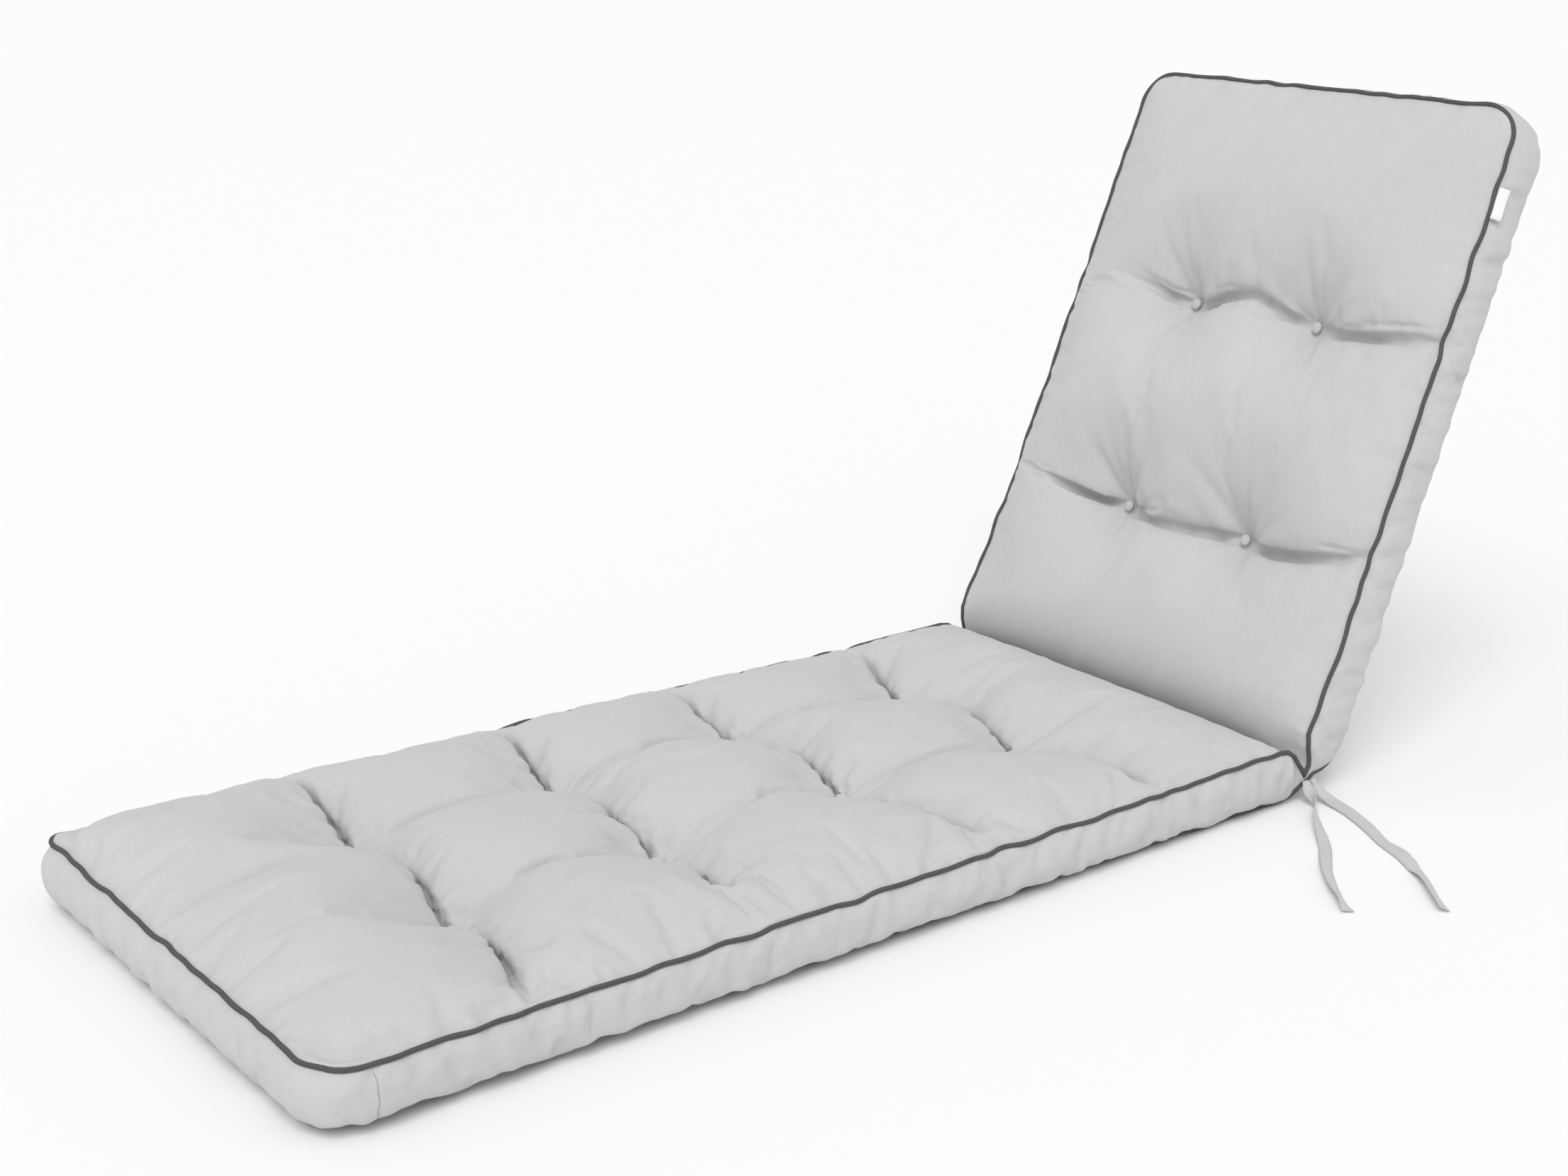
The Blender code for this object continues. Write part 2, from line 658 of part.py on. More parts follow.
def colour(name, rgb, roughness):
    material = bpy.data.materials.new(name)
    shader = material.node_tree.nodes["Principled BSDF"] if material.use_nodes else None
    if shader is None:
        material.use_nodes = True
        shader = material.node_tree.nodes["Principled BSDF"]
    shader.inputs["Base Color"].default_value = (*rgb, 1.0)
    shader.inputs["Roughness"].default_value = roughness
    material.diffuse_color = (*rgb, 1.0)
    return material


def add(name, shape, shift, material):
    points, faces = shape
    if volume(points, faces) < 0:
        faces = [tuple(reversed(face)) for face in faces]
    mesh = bpy.data.meshes.new(name)
    mesh.from_pydata([tuple(p) for p in points + shift], [], faces)
    mesh.update()
    obj = bpy.data.objects.new(name, mesh)
    mesh.materials.append(material)
    bpy.context.scene.collection.objects.link(obj)
    return obj


def main():
    for obj in list(bpy.data.objects):
        bpy.data.objects.remove(obj, do_unlink=True)
    body = Body()
    shapes = {"cushion": body.mesh()}
    for name, line in (("piping_top", body.top_line), ("piping_bottom", body.bottom_line)):
        kept = kept_stations(line)
        shapes[name] = tube(line[kept], body.outward[kept], TRIM.piping, TRIM.sides)
    for row, (s, floor, column) in enumerate(tuft_rows(), 1):
        for side, centre in zip(("near", "far"), centres(column)):
            shapes[f"button_{row}_{side}"] = button(s, centre, floor)
    shapes["label_tab"] = label_tab()
    bodies = np.concatenate([points for points, _ in shapes.values()])
    low, high = bodies.min(0), bodies.max(0)
    shift = np.array([-(low[0] + high[0]) / 2, -(low[1] + high[1]) / 2, 0.0])
    shapes["tie_long"] = tie(LONG_TIE)
    shapes["tie_short"] = tie(SHORT_TIE)
    fabric = colour("light grey cloth", (0.60, 0.60, 0.61), 0.9)
    dark = colour("dark grey cord", (0.12, 0.12, 0.125), 0.85)
    white = colour("white tab", (0.85, 0.85, 0.85), 0.8)
    paint = {"piping_top": dark, "piping_bottom": dark, "label_tab": white}
    for name, shape in shapes.items():
        add(name, shape, shift, paint.get(name, fabric))
    print("shift", shift.round(5).tolist(), "box", low.round(4).tolist(), high.round(4).tolist())
    print("cushion volume", round(abs(volume(*shapes["cushion"])), 5))


main()
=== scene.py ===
"""Looks of the sun lounger cushion: cover, piping, buttons, ties, tab, studio and camera."""

import logging
from dataclasses import dataclass
from enum import Enum
from math import cos, exp, pi, radians, sin

import bpy
import numpy as np
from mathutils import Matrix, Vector

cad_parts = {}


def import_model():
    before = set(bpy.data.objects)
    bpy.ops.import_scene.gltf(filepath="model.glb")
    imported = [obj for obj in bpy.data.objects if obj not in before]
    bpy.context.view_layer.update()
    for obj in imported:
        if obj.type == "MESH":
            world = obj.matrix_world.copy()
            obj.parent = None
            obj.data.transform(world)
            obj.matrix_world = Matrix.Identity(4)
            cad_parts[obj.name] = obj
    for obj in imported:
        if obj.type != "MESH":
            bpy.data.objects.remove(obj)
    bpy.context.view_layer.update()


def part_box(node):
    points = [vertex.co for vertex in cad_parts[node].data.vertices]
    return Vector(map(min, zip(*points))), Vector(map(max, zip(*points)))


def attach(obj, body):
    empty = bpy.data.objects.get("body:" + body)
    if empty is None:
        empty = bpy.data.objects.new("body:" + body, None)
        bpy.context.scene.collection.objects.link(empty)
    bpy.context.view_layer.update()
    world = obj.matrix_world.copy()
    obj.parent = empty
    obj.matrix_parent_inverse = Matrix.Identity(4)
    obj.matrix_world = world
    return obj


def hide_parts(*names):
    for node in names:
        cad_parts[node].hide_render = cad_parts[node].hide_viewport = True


log = logging.getLogger("cushion")

Rows = tuple[tuple[float, ...], ...]
Faces = list[tuple[int, ...]]


# Sizes that the solids share


@dataclass(frozen=True)
class CushionSizes:
    """Sizes of the padded body in metres. Lengths run along it from the sewn fold."""

    width: float = 0.570
    seat: float = 1.220
    back: float = 0.780
    recline: float = radians(67.0)
    fold_z: float = 0.0257
    corner: float = 0.045
    far_foot_corner: float = 0.024
    bulge: float = 0.007
    foot_bulge: float = 0.015
    end_tuck: float = 0.009
    corner_tuck: float = 0.006
    head_corner_tuck: float = 0.010
    head_corner_flat: float = 0.006  # how much less the side band swells at the head's corners
    far_foot_corner_flat: float = 0.010
    recess: float = 0.004  # of the side band beside the fold
    recess_reach: float = 0.027
    recess_fade: float = 0.006
    band_out: float = 0.0014  # how far the side band starts outside the piping line
    groove: float = 0.006  # rounding of the groove at the fold


@dataclass(frozen=True)
class TuftSizes:
    """Where the cushion is tied through, and how deep."""

    first: float = 0.235
    pitch: float = 0.240
    count: int = 4
    back_rows: tuple[float, ...] = (0.237, 0.500)
    half_gap: float = 0.095
    seat_floors: tuple[float, ...] = (-0.014, -0.013, -0.006, -0.012)
    middles: tuple[float, ...] = (0.006, 0.014, 0.017, 0.007, 0.0, 0.0)  # each row's, off the middle line
    near_reach: tuple[float, ...] = (0.30, 0.220, 0.26, 0.30, 0.32, 0.32)  # where each row's fold ends
    near_fade: float = 0.030
    back_floor: float = -0.024
    rear_dimple: float = 0.010
    rear_spread: float = 0.022
    spread: float = 0.036
    flat: float = 0.0150
    flat_share: float = 0.6  # of the flat, that the upper panel follows


@dataclass(frozen=True)
class PuffSizes:
    """How quickly the upper panel rises from its edges and sinks into its folds, in metres."""

    near_side: float = 0.080
    far_side: float = 0.064
    ends: float = 0.055
    foot_side: float = 0.030  # how much quicker the far side rises at the foot
    foot_ends: float = 0.037  # and the foot end at the far side
    foot_from: float = 0.85
    foot_fade: float = 0.25
    foot_across: float = 0.05
    foot_across_fade: float = 0.15
    seat_fold: float = 0.090
    back_fold: float = 0.028
    roll: float = 0.008  # extra height of the back just above the fold
    roll_side: float = 0.030
    roll_at: float = 0.070
    roll_length: float = 0.040
    steep_seat: float = 0.015
    steep_back: float = 0.017
    gentle: float = 0.026
    valley: float = 0.019
    last_valley: float = 0.007
    last_valley_length: float = 0.14
    first_valley: float = 0.005
    first_valley_length: float = 0.08
    valley_fade: float = 0.02
    valley_width: float = 0.030
    base: float = 0.005  # of the back's upper panel at the fold
    base_rise: float = 0.0125
    base_reach: float = 0.030
    rear_drop: float = 0.006


# Height of each seam from the fold line, and how far the lower seam is tucked in under the side band:
# (distance from the fold, top, bottom, tuck).
SEAMS: Rows = (
    (-1.220, 0.0400, -0.0195, 0.0170),
    (-1.120, 0.0383, -0.0180, 0.0170),
    (-0.600, 0.0383, -0.0195, 0.0140),
    (-0.200, 0.0383, -0.0210, 0.0120),
    (-0.100, 0.0410, -0.0218, 0.0100),
    (-0.047, 0.0404, -0.0215, 0.0080),
    (-0.033, 0.0372, -0.0200, 0.0055),
    (-0.022, 0.0300, -0.0165, 0.0025),
    (-0.013, 0.0185, -0.0105, 0.0000),
    (-0.006, 0.0100, -0.0060, 0.0000),
    (0.000, 0.0050, -0.0045, 0.0000),
    (0.007, 0.0030, -0.0105, 0.0000),
    (0.014, 0.0015, -0.0230, 0.0010),
    (0.022, 0.0050, -0.0345, 0.0030),
    (0.033, 0.0130, -0.0430, 0.0050),
    (0.048, 0.0200, -0.0480, 0.0070),
    (0.078, 0.0185, -0.0480, 0.0080),
    (0.130, 0.0156, -0.0480, 0.0085),
    (0.780, 0.0150, -0.0480, 0.0085),
)

# How the far side differs from the near side: (distance from the fold, further out, higher).
FAR_SIDE: Rows = (
    (-1.220, 0.0435, 0.0040),
    (-1.195, 0.0415, -0.0010),
    (-1.150, 0.0375, -0.0075),
    (-1.080, 0.0335, -0.0060),
    (-1.000, 0.0290, 0.0040),
    (-0.600, 0.0170, 0.0030),
    (-0.250, 0.0055, -0.0015),
    (-0.060, 0.0010, -0.0020),
    (0.000, 0.0020, 0.0000),
    (0.020, 0.0060, 0.0040),
    (0.060, 0.0065, 0.0050),
    (0.200, 0.0000, 0.0020),
    (0.400, -0.0030, 0.0000),
    (0.550, -0.0055, 0.0000),
    (0.780, -0.0080, -0.0010),
)

# The side band's section from the upper seam to the lower one:
# (share, out in bulges, in in tucks, down in heights).
BAND_SECTION: Rows = (
    (0.00, 0.00, 0.00, 0.00),
    (0.14, 0.62, 0.00, 0.13),
    (0.28, 0.92, 0.00, 0.29),
    (0.42, 1.00, 0.00, 0.45),
    (0.56, 0.96, 0.00, 0.62),
    (0.70, 0.78, 0.00, 0.79),
    (0.82, 0.36, 0.05, 0.93),
    (0.92, 0.00, 0.48, 1.00),
    (1.00, 0.00, 1.00, 1.00),
)

# How high the puffs stand along the cushion: (distance from the fold, crown).
CROWN: Rows = (
    (-1.220, 0.043),
    (-0.985, 0.041),
    (-0.620, 0.034),
    (-0.380, 0.032),
    (-0.120, 0.026),
    (0.000, 0.030),
    (0.120, 0.036),
    (0.370, 0.042),
    (0.600, 0.040),
    (0.780, 0.036),
)

# How much spare cloth the upper panel has along the cushion: (distance from the fold, share of the most).
SPARE_CLOTH: Rows = (
    (-1.220, 0.80),
    (-0.620, 0.80),
    (-0.400, 0.70),
    (-0.150, 0.45),
    (0.060, 0.05),
    (0.150, 0.10),
    (0.300, 0.22),
    (0.450, 0.25),
    (0.560, 0.18),
    (0.660, 0.05),
    (0.780, 0.05),
)

# How deep the fold across each tuft row is: (distance across, seat, back).
FOLD_DEPTH: Rows = (
    (-0.285, 0.000, 0.006),
    (-0.250, 0.012, 0.016),
    (-0.190, 0.032, 0.030),
    (-0.110, 0.042, 0.038),
    (-0.050, 0.042, 0.038),
    (0.000, 0.038, 0.034),
    (0.050, 0.040, 0.038),
    (0.110, 0.042, 0.038),
    (0.150, 0.038, 0.024),
    (0.190, 0.034, 0.005),
    (0.215, 0.022, 0.000),
    (0.260, 0.006, 0.000),
    (0.285, 0.000, 0.000),
)

# How sharply the cloth is pinched in each fold: (distance across, seat, back 1, back 2).
FOLD_PINCH: Rows = (
    (-0.285, 0.00, 0.00, 0.00),
    (-0.255, 0.20, 0.25, 0.20),
    (-0.180, 1.00, 0.60, 0.50),
    (-0.125, 1.00, 0.75, 0.55),
    (-0.105, 0.35, 0.15, 0.10),
    (-0.085, 0.35, 0.15, 0.10),
    (-0.065, 1.00, 0.75, 0.55),
    (-0.010, 0.95, 0.35, 0.30),
    (0.040, 0.65, 0.40, 0.35),
    (0.070, 0.60, 0.65, 0.50),
    (0.085, 0.25, 0.15, 0.10),
    (0.105, 0.25, 0.15, 0.10),
    (0.125, 0.80, 0.90, 0.65),
    (0.150, 1.00, 0.90, 0.30),
    (0.190, 1.00, 0.55, 0.00),
    (0.225, 0.80, 0.10, 0.00),
    (0.255, 0.00, 0.00, 0.00),
)

# Small pleats beside the back's tufts:
# (distance of the row, across from, across to, above the fold from, to, depth).
PLEATS: Rows = (
    (0.237, 0.105, 0.178, -0.006, -0.018, 0.0016),
    (0.237, 0.086, 0.010, 0.005, 0.018, 0.0032),
    (0.237, -0.104, -0.168, 0.005, 0.007, 0.0026),
    (0.237, -0.182, -0.226, 0.008, 0.002, 0.0020),
    (0.237, -0.218, -0.262, 0.017, 0.009, 0.0018),
    (0.500, 0.100, 0.146, 0.009, 0.016, 0.0032),
    (0.500, 0.103, 0.135, -0.004, -0.008, 0.0016),
    (0.500, 0.051, 0.005, 0.014, 0.008, 0.0020),
    (0.500, -0.147, -0.200, 0.011, 0.013, 0.0016),
    (0.500, -0.175, -0.272, 0.016, 0.015, 0.0024),
)

# How far each tuft row's fold wanders along the cushion: (distance across, row 1, 2, 3, 4, back 1, 2).
ROW_SHIFT: Rows = (
    (-0.285, -0.030, -0.012, 0.042, 0.046, 0.022, 0.008),
    (-0.250, -0.026, -0.010, 0.036, 0.038, 0.011, 0.006),
    (-0.200, -0.012, -0.008, 0.028, 0.040, 0.000, 0.000),
    (-0.150, -0.004, -0.002, 0.012, 0.030, -0.005, -0.003),
    (-0.095, 0.000, 0.000, 0.000, 0.000, 0.000, 0.000),
    (-0.060, -0.003, 0.002, 0.006, 0.008, -0.002, 0.009),
    (-0.015, 0.006, 0.000, 0.016, 0.018, -0.007, 0.023),
    (0.030, 0.009, 0.012, 0.026, 0.034, -0.009, 0.015),
    (0.060, 0.006, 0.014, 0.022, 0.030, -0.005, 0.002),
    (0.095, 0.000, 0.000, 0.000, 0.000, 0.000, 0.000),
    (0.150, 0.004, 0.006, 0.003, 0.012, 0.003, 0.007),
    (0.210, 0.012, 0.022, 0.013, 0.040, 0.008, 0.015),
    (0.285, 0.018, 0.036, 0.024, 0.060, 0.012, 0.022),
)


def table(rows: Rows, at: float | np.ndarray, column: int = 1) -> float | np.ndarray:
    """Read values off a table by straight lines between its rows.

    Args:
        rows: the table, sorted by its first column.
        at: one or many places in the first column.
        column: the column to read.

    Returns:
        One value or an array, as at is.
    """
    return np.interp(at, [row[0] for row in rows], [row[column] for row in rows])


class CushionForm:
    """The shape of the cushion: where each point along and across it lies."""

    def __init__(self, sizes: CushionSizes, tufts: TuftSizes, puffs: PuffSizes) -> None:
        """Work out the fold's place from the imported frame."""
        self.sizes = sizes
        self.tufts = tufts
        self.puffs = puffs
        low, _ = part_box("cushion")
        reach = np.array([sizes.seat + sizes.foot_bulge, sizes.width / 2 + sizes.bulge]) + sizes.band_out
        self.fold = np.array([low[0] + reach[0], low[1] + reach[1], 0.0])

    def rows(self) -> list[tuple[float, float, int]]:
        """Return every tuft row as (distance from the fold, floor height, shift column)."""
        tufts = self.tufts
        seat = [-self.sizes.seat + tufts.first + tufts.pitch * i for i in range(tufts.count)]
        found = [(s, tufts.seat_floors[i], 1 + i) for i, s in enumerate(seat)]
        return found + [(s, tufts.back_floor, 1 + tufts.count + i) for i, s in enumerate(tufts.back_rows)]

    def centres(self, column: int) -> tuple[float, float]:
        """Return how far across the two tufts of a row lie, the near one first."""
        middle = self.tufts.middles[column - 1]
        return middle - self.tufts.half_gap, middle + self.tufts.half_gap

    def row_shift(self, y: np.ndarray, column: int) -> np.ndarray:
        """Return how far a row's fold wanders along the cushion."""
        return table(ROW_SHIFT, y - self.tufts.middles[column - 1], column)

    def near_fade(self, y: np.ndarray, column: int) -> np.ndarray:
        """Return the share of a row's fold that is left towards the near side."""
        return np.clip((y + self.tufts.near_reach[column - 1]) / self.tufts.near_fade, 0, 1)

    def fold_depth(self, y: np.ndarray, row: float) -> np.ndarray:
        """Return how deep a row's fold is across the cushion."""
        return table(FOLD_DEPTH, y, 1 if row < 0 else 2)

    def directions(self, s: np.ndarray) -> tuple[np.ndarray, np.ndarray]:
        """Return the directions along and out of the cushion at distances s from the fold."""
        lean = np.where(s > 0, self.sizes.recline, 0.0)
        lean = np.where(s == 0, self.sizes.recline / 2, lean)
        along = np.stack([np.cos(lean), 0 * lean, np.sin(lean)], -1)
        out = np.stack([-np.sin(lean), 0 * lean, np.cos(lean)], -1)
        return along, out

    def place(self, s: np.ndarray, y: np.ndarray, height: np.ndarray) -> np.ndarray:
        """Return points at a distance along, a distance across and a height above the fold line."""
        s, y, height = np.broadcast_arrays(np.asarray(s, float), y, height)
        along, out = self.directions(s)
        base = self.fold + np.array([0.0, 0.0, self.sizes.fold_z])
        point = base + along * s[..., None] + out * height[..., None]
        point[..., 1] += y + self.far_out(s, y)
        return point

    def corner_size(self, s: np.ndarray, y: np.ndarray) -> tuple[np.ndarray, np.ndarray]:
        """Return the nearest end and the radius of the nearest outer corner."""
        size = self.sizes
        foot = s < -size.seat / 2
        radius = np.where(foot & (y > 0), size.far_foot_corner, size.corner)
        return np.where(foot, -size.seat, size.back), radius

    def rounded(self, s: np.ndarray, y: np.ndarray) -> tuple[np.ndarray, np.ndarray]:
        """Move grid points near the outer corners so that the outline has round corners."""
        half = self.sizes.width / 2
        end, radius = self.corner_size(s, y)
        a = 1 - np.abs(s - end) / radius
        b = 1 - (half - np.abs(y)) / radius
        near = (a > 0) & (b > 0)
        a, b = np.clip(a, 0, 1), np.clip(b, 0, 1)
        round_a, round_b = a * np.sqrt(1 - b * b / 2), b * np.sqrt(1 - a * a / 2)
        new_s = end - np.sign(end) * (1 - round_a) * radius
        new_y = np.sign(y) * (half - (1 - round_b) * radius)
        return np.where(near, new_s, s), np.where(near, new_y, y)

    def outward(self, s: np.ndarray, y: np.ndarray) -> np.ndarray:
        """Return the direction out of the edge, in the panel's plane, for points on the outline."""
        half = self.sizes.width / 2
        along, _ = self.directions(s)
        end, radius = self.corner_size(s, y)
        across = np.array([0.0, 1.0, 0.0])
        centre_s = end - np.sign(end) * radius
        centre_y = np.sign(y) * (half - radius)
        past = (s - centre_s) * np.sign(end) > 1e-9
        wide = np.abs(y) > half - radius + 1e-9
        angle = np.arctan2(y - centre_y, s - centre_s)
        turned = along * np.cos(angle)[:, None] + across * np.sin(angle)[:, None]
        sideways = across * np.sign(y)[:, None]
        endways = along * np.sign(end)[:, None]
        return np.where((past & wide)[:, None], turned, np.where(wide[:, None], sideways, endways))

    def far_out(self, s: np.ndarray, y: np.ndarray) -> np.ndarray:
        """Return how much further out the far side lies."""
        share = np.clip((y - 0.10) / (self.sizes.width / 2 - 0.10), 0, 1) ** 1.5
        return table(FAR_SIDE, s, 1) * share

    def far_up(self, s: np.ndarray, y: np.ndarray) -> np.ndarray:
        """Return how much higher the far side lies."""
        share = np.clip(y / (self.sizes.width / 2), 0, 1) ** 2
        return table(FAR_SIDE, s, 2) * share

    def tuck(self, s: np.ndarray, outward: np.ndarray) -> np.ndarray:
        """Return how far the lower seam is tucked in under the side band."""
        sideways = outward[:, 1] ** 2
        corner = 4 * sideways * (1 - sideways)
        corner *= np.where(s < 0, self.sizes.corner_tuck, self.sizes.head_corner_tuck)
        return table(SEAMS, s, 3) * sideways + self.sizes.end_tuck * (1 - sideways) + corner

    def swelling(self, s: np.ndarray, outward: np.ndarray) -> np.ndarray:
        """Return how far the side band swells out at its middle."""
        size = self.sizes
        sideways = outward[:, 1] ** 2
        corner = 4 * sideways * (1 - sideways)
        footward = np.where(s < 0, 1 - sideways, 0.0)
        swell = size.bulge + (size.foot_bulge - size.bulge) * footward
        foot_flat = np.where(outward[:, 1] > 0, size.far_foot_corner_flat, 0.0)
        swell = swell - np.where(s > 0, size.head_corner_flat, foot_flat) * corner
        beside_fold = np.where(s < 0, np.clip((s + size.recess_reach) / size.recess_fade, 0, 1), 0.0)
        return swell * (1 - beside_fold) - size.recess * beside_fold

    def seam(self, s: np.ndarray, y: np.ndarray, column: int) -> np.ndarray:
        """Return points of the upper seam (column 1) or the lower one (column 2) before its tuck."""
        lift = self.far_up(s, y) if column == 1 else 0.0
        return self.place(s, y, table(SEAMS, s, column) + lift)

    def room(self, s: np.ndarray, y: np.ndarray) -> tuple[np.ndarray, np.ndarray]:
        """Return the distances from the side seams and from the end seams."""
        side = np.maximum(self.sizes.width / 2 - np.abs(y), 0)
        ends = np.maximum(np.minimum(s + self.sizes.seat, self.sizes.back - s), 0)
        return side, ends

    def base_height(self, s: np.ndarray, y: np.ndarray) -> np.ndarray:
        """Return the height of the upper panel's base.

        It is the seam's own height at the edge, with a smooth rise behind the fold.
        """
        puff = self.puffs
        edge = np.exp(-self.room(s, y)[0] / puff.base_reach)
        smooth_base = puff.base + puff.base_rise * (1 - np.exp(-np.maximum(s, 0) / puff.base_reach))
        seam = table(SEAMS, s, 1)
        return np.where(s > 0, seam * edge + smooth_base * (1 - edge), seam)

    def top_height(self, s: np.ndarray, y: np.ndarray) -> np.ndarray:
        """Return the height of the upper panel above the fold line, puffs and folds included."""
        puff, tuft = self.puffs, self.tufts
        side_room, end_room = self.room(s, y)
        foot = np.clip((-s - puff.foot_from) / puff.foot_fade, 0, 1)
        foot = foot * np.clip((y - puff.foot_across) / puff.foot_across_fade, 0, 1)
        side_reach = np.where(y > 0, puff.far_side, puff.near_side) - puff.foot_side * foot
        side = 1 - np.exp(-side_room / side_reach)
        ends = 1 - np.exp(-end_room / (puff.ends - puff.foot_ends * foot))
        fold = 1 - np.exp(-np.abs(s) / np.where(s < 0, puff.seat_fold, puff.back_fold))
        height = table(CROWN, s) * side * ends * fold
        roll = np.exp(-(((s - puff.roll_at) / puff.roll_length) ** 2))
        height += puff.roll * (1 - np.exp(-side_room / puff.roll_side)) * roll
        rows = self.rows()
        for row, _, column in rows:
            off = s - row - self.row_shift(y, column)
            steep = off < 0 if row < 0 else off > 0
            wide = np.where(steep, puff.steep_seat if row < 0 else puff.steep_back, puff.gentle)
            height -= self.fold_depth(y, row) * self.near_fade(y, column) * np.exp(-np.abs(off) / wide)
        middle = np.interp(s, [row[0] for row in rows], tuft.middles)
        for low, high, depth in self.column_valleys(rows):
            inside = np.clip((s - low) / puff.valley_fade, 0, 1)
            inside = inside * np.clip((high - s) / puff.valley_fade, 0, 1)
            for centre in (-tuft.half_gap, tuft.half_gap):
                height -= depth * inside * np.exp(-np.abs(y - middle - centre) / puff.valley_width)
        for row, floor, column in rows:
            for centre in self.centres(column):
                away = np.maximum(np.hypot(s - row, y - centre) - tuft.flat * tuft.flat_share, 0.0)
                pull = np.exp(-away / tuft.spread)
                height = height * (1 - pull) + floor * pull
        return height + self.base_height(s, y) + self.far_up(s, y)

    def column_valleys(self, rows: list[tuple[float, float, int]]) -> list[tuple[float, float, float]]:
        """Return the stretches where a valley runs along the cushion, as (from, to, depth)."""
        puff = self.puffs
        seat = [row[0] for row in rows if row[0] < 0]
        found = [(a, b, puff.valley) for a, b in zip(seat, seat[1:])]
        found.append((seat[-1], seat[-1] + puff.last_valley_length, puff.last_valley))
        found.append((seat[0] - puff.first_valley_length, seat[0], puff.first_valley))
        return found

    def bottom_height(self, s: np.ndarray, y: np.ndarray) -> np.ndarray:
        """Return the height of the lower panel: flat on the floor, nearly flat behind the back."""
        side_room, end_room = self.room(s, y)
        tuck = table(SEAMS, s, 3)
        most = np.minimum(np.abs(s) / 0.050, 1.0)
        room = np.clip((np.minimum(side_room, end_room) - tuck) / 0.025, 0, most)
        seam = table(SEAMS, s, 2)
        drop = np.where(s <= 0, self.sizes.fold_z + seam, self.puffs.rear_drop)
        height = seam - drop * (1 - (1 - room) ** 2)
        for row, _, column in self.rows():
            for centre in self.centres(column):
                away = np.maximum(np.hypot(s - row, y - centre) - self.tufts.flat, 0.0)
                height += self.tufts.rear_dimple * np.clip(1 - away / self.tufts.rear_spread, 0, 1) ** 2
        return np.where(s <= 0, np.maximum(height, -self.sizes.fold_z), height)


# Grid of the cover


def outline_of(n: int, m: int) -> list[tuple[int, int]]:
    """Return the grid indices round the edge of an n by m grid."""
    near = [(i, 0) for i in range(n - 1)]
    head = [(n - 1, j) for j in range(m - 1)]
    far = [(i, m - 1) for i in range(n - 1, 0, -1)]
    foot = [(0, j) for j in range(m - 1, 0, -1)]
    return near + head + far + foot


class CoverGrid:
    """A grid of lines along and across the cushion, with the loop of points round its edge."""

    def __init__(self, form: CushionForm, step: float, band_rows: int) -> None:
        """Lay the lines about a step apart, closer at the fold and beside the tuft rows."""
        self.form = form
        self.step = step
        self.band_rows = band_rows
        size = form.sizes
        fold = [row[0] for row in SEAMS if abs(row[0]) < 0.05]
        seat = self.spread(-size.seat, -0.047, step)
        back = self.spread(0.048, size.back, step)
        middle = self.between(fold, step * 0.75)
        lines = sorted({round(v, 6) for v in [*seat, *middle, *back]})
        close = [(a + b) / 2 for a, b in zip(lines, lines[1:]) if self.beside_row((a + b) / 2)]
        self.s = np.array(sorted([*lines, *close]))
        half = size.width / 2
        self.y = np.array(self.spread(-half, half, step))
        self.loop = outline_of(len(self.s), len(self.y))

    def beside_row(self, s: float) -> bool:
        """Return whether a place lies where a tuft row's fold runs."""
        return any(-0.020 < s - row < 0.030 for row, _, _ in self.form.rows())

    @staticmethod
    def spread(low: float, high: float, step: float) -> list[float]:
        """Return evenly spaced values from low to high, about a step apart."""
        return list(np.linspace(low, high, max(2, round((high - low) / step) + 1)))

    @staticmethod
    def between(marks: list[float], step: float) -> list[float]:
        """Return the marks with extra values between any that are more than a step apart."""
        found = list(marks)
        for a, b in zip(marks, marks[1:]):
            parts = max(1, round((b - a) / step))
            found += [a + (b - a) * k / parts for k in range(1, parts)]
        return found

    def grid(self) -> tuple[np.ndarray, np.ndarray]:
        """Return the two coordinates of every grid point, with round corners."""
        s, y = np.meshgrid(self.s, self.y, indexing="ij")
        return self.form.rounded(s, y)

    def outline(self) -> tuple[np.ndarray, np.ndarray]:
        """Return the two coordinates of the points round the edge."""
        s, y = self.grid()
        i, j = np.array(self.loop).T
        return s[i, j], y[i, j]


def turn(points: np.ndarray) -> tuple[np.ndarray, np.ndarray]:
    """Return the unit directions to the next and from the last point of a closed line."""
    ahead = np.roll(points, -1, 0) - points
    ahead /= np.linalg.norm(ahead, axis=1)[:, None]
    return ahead, np.roll(ahead, 1, 0)


def unit(vectors: np.ndarray) -> np.ndarray:
    """Return the vectors at length one."""
    return vectors / np.maximum(np.linalg.norm(vectors, axis=-1, keepdims=True), 1e-12)


def travel_round(line: np.ndarray) -> np.ndarray:
    """Return the distance along a closed line at each of its points."""
    steps = np.linalg.norm(np.roll(line, -1, 0) - line, axis=1)
    return np.concatenate([[0.0], np.cumsum(steps)[:-1]])


def ripple(distance: np.ndarray, seed: int, lengths: tuple[float, float], waves: int = 14) -> np.ndarray:
    """Return a smooth random wave along a distance, between about -1 and 1.

    Args:
        distance: metres along a line.
        seed: picks the wave.
        lengths: shortest and longest wavelength in metres.
        waves: how many sine waves to add.

    Returns:
        The wave at each distance.
    """
    rng = np.random.default_rng(seed)
    total = np.zeros_like(distance)
    for _ in range(waves):
        length = rng.uniform(*lengths)
        total += np.sin(2 * pi * distance / length + rng.uniform(0, 2 * pi))
    return total / np.sqrt(waves) * 0.7


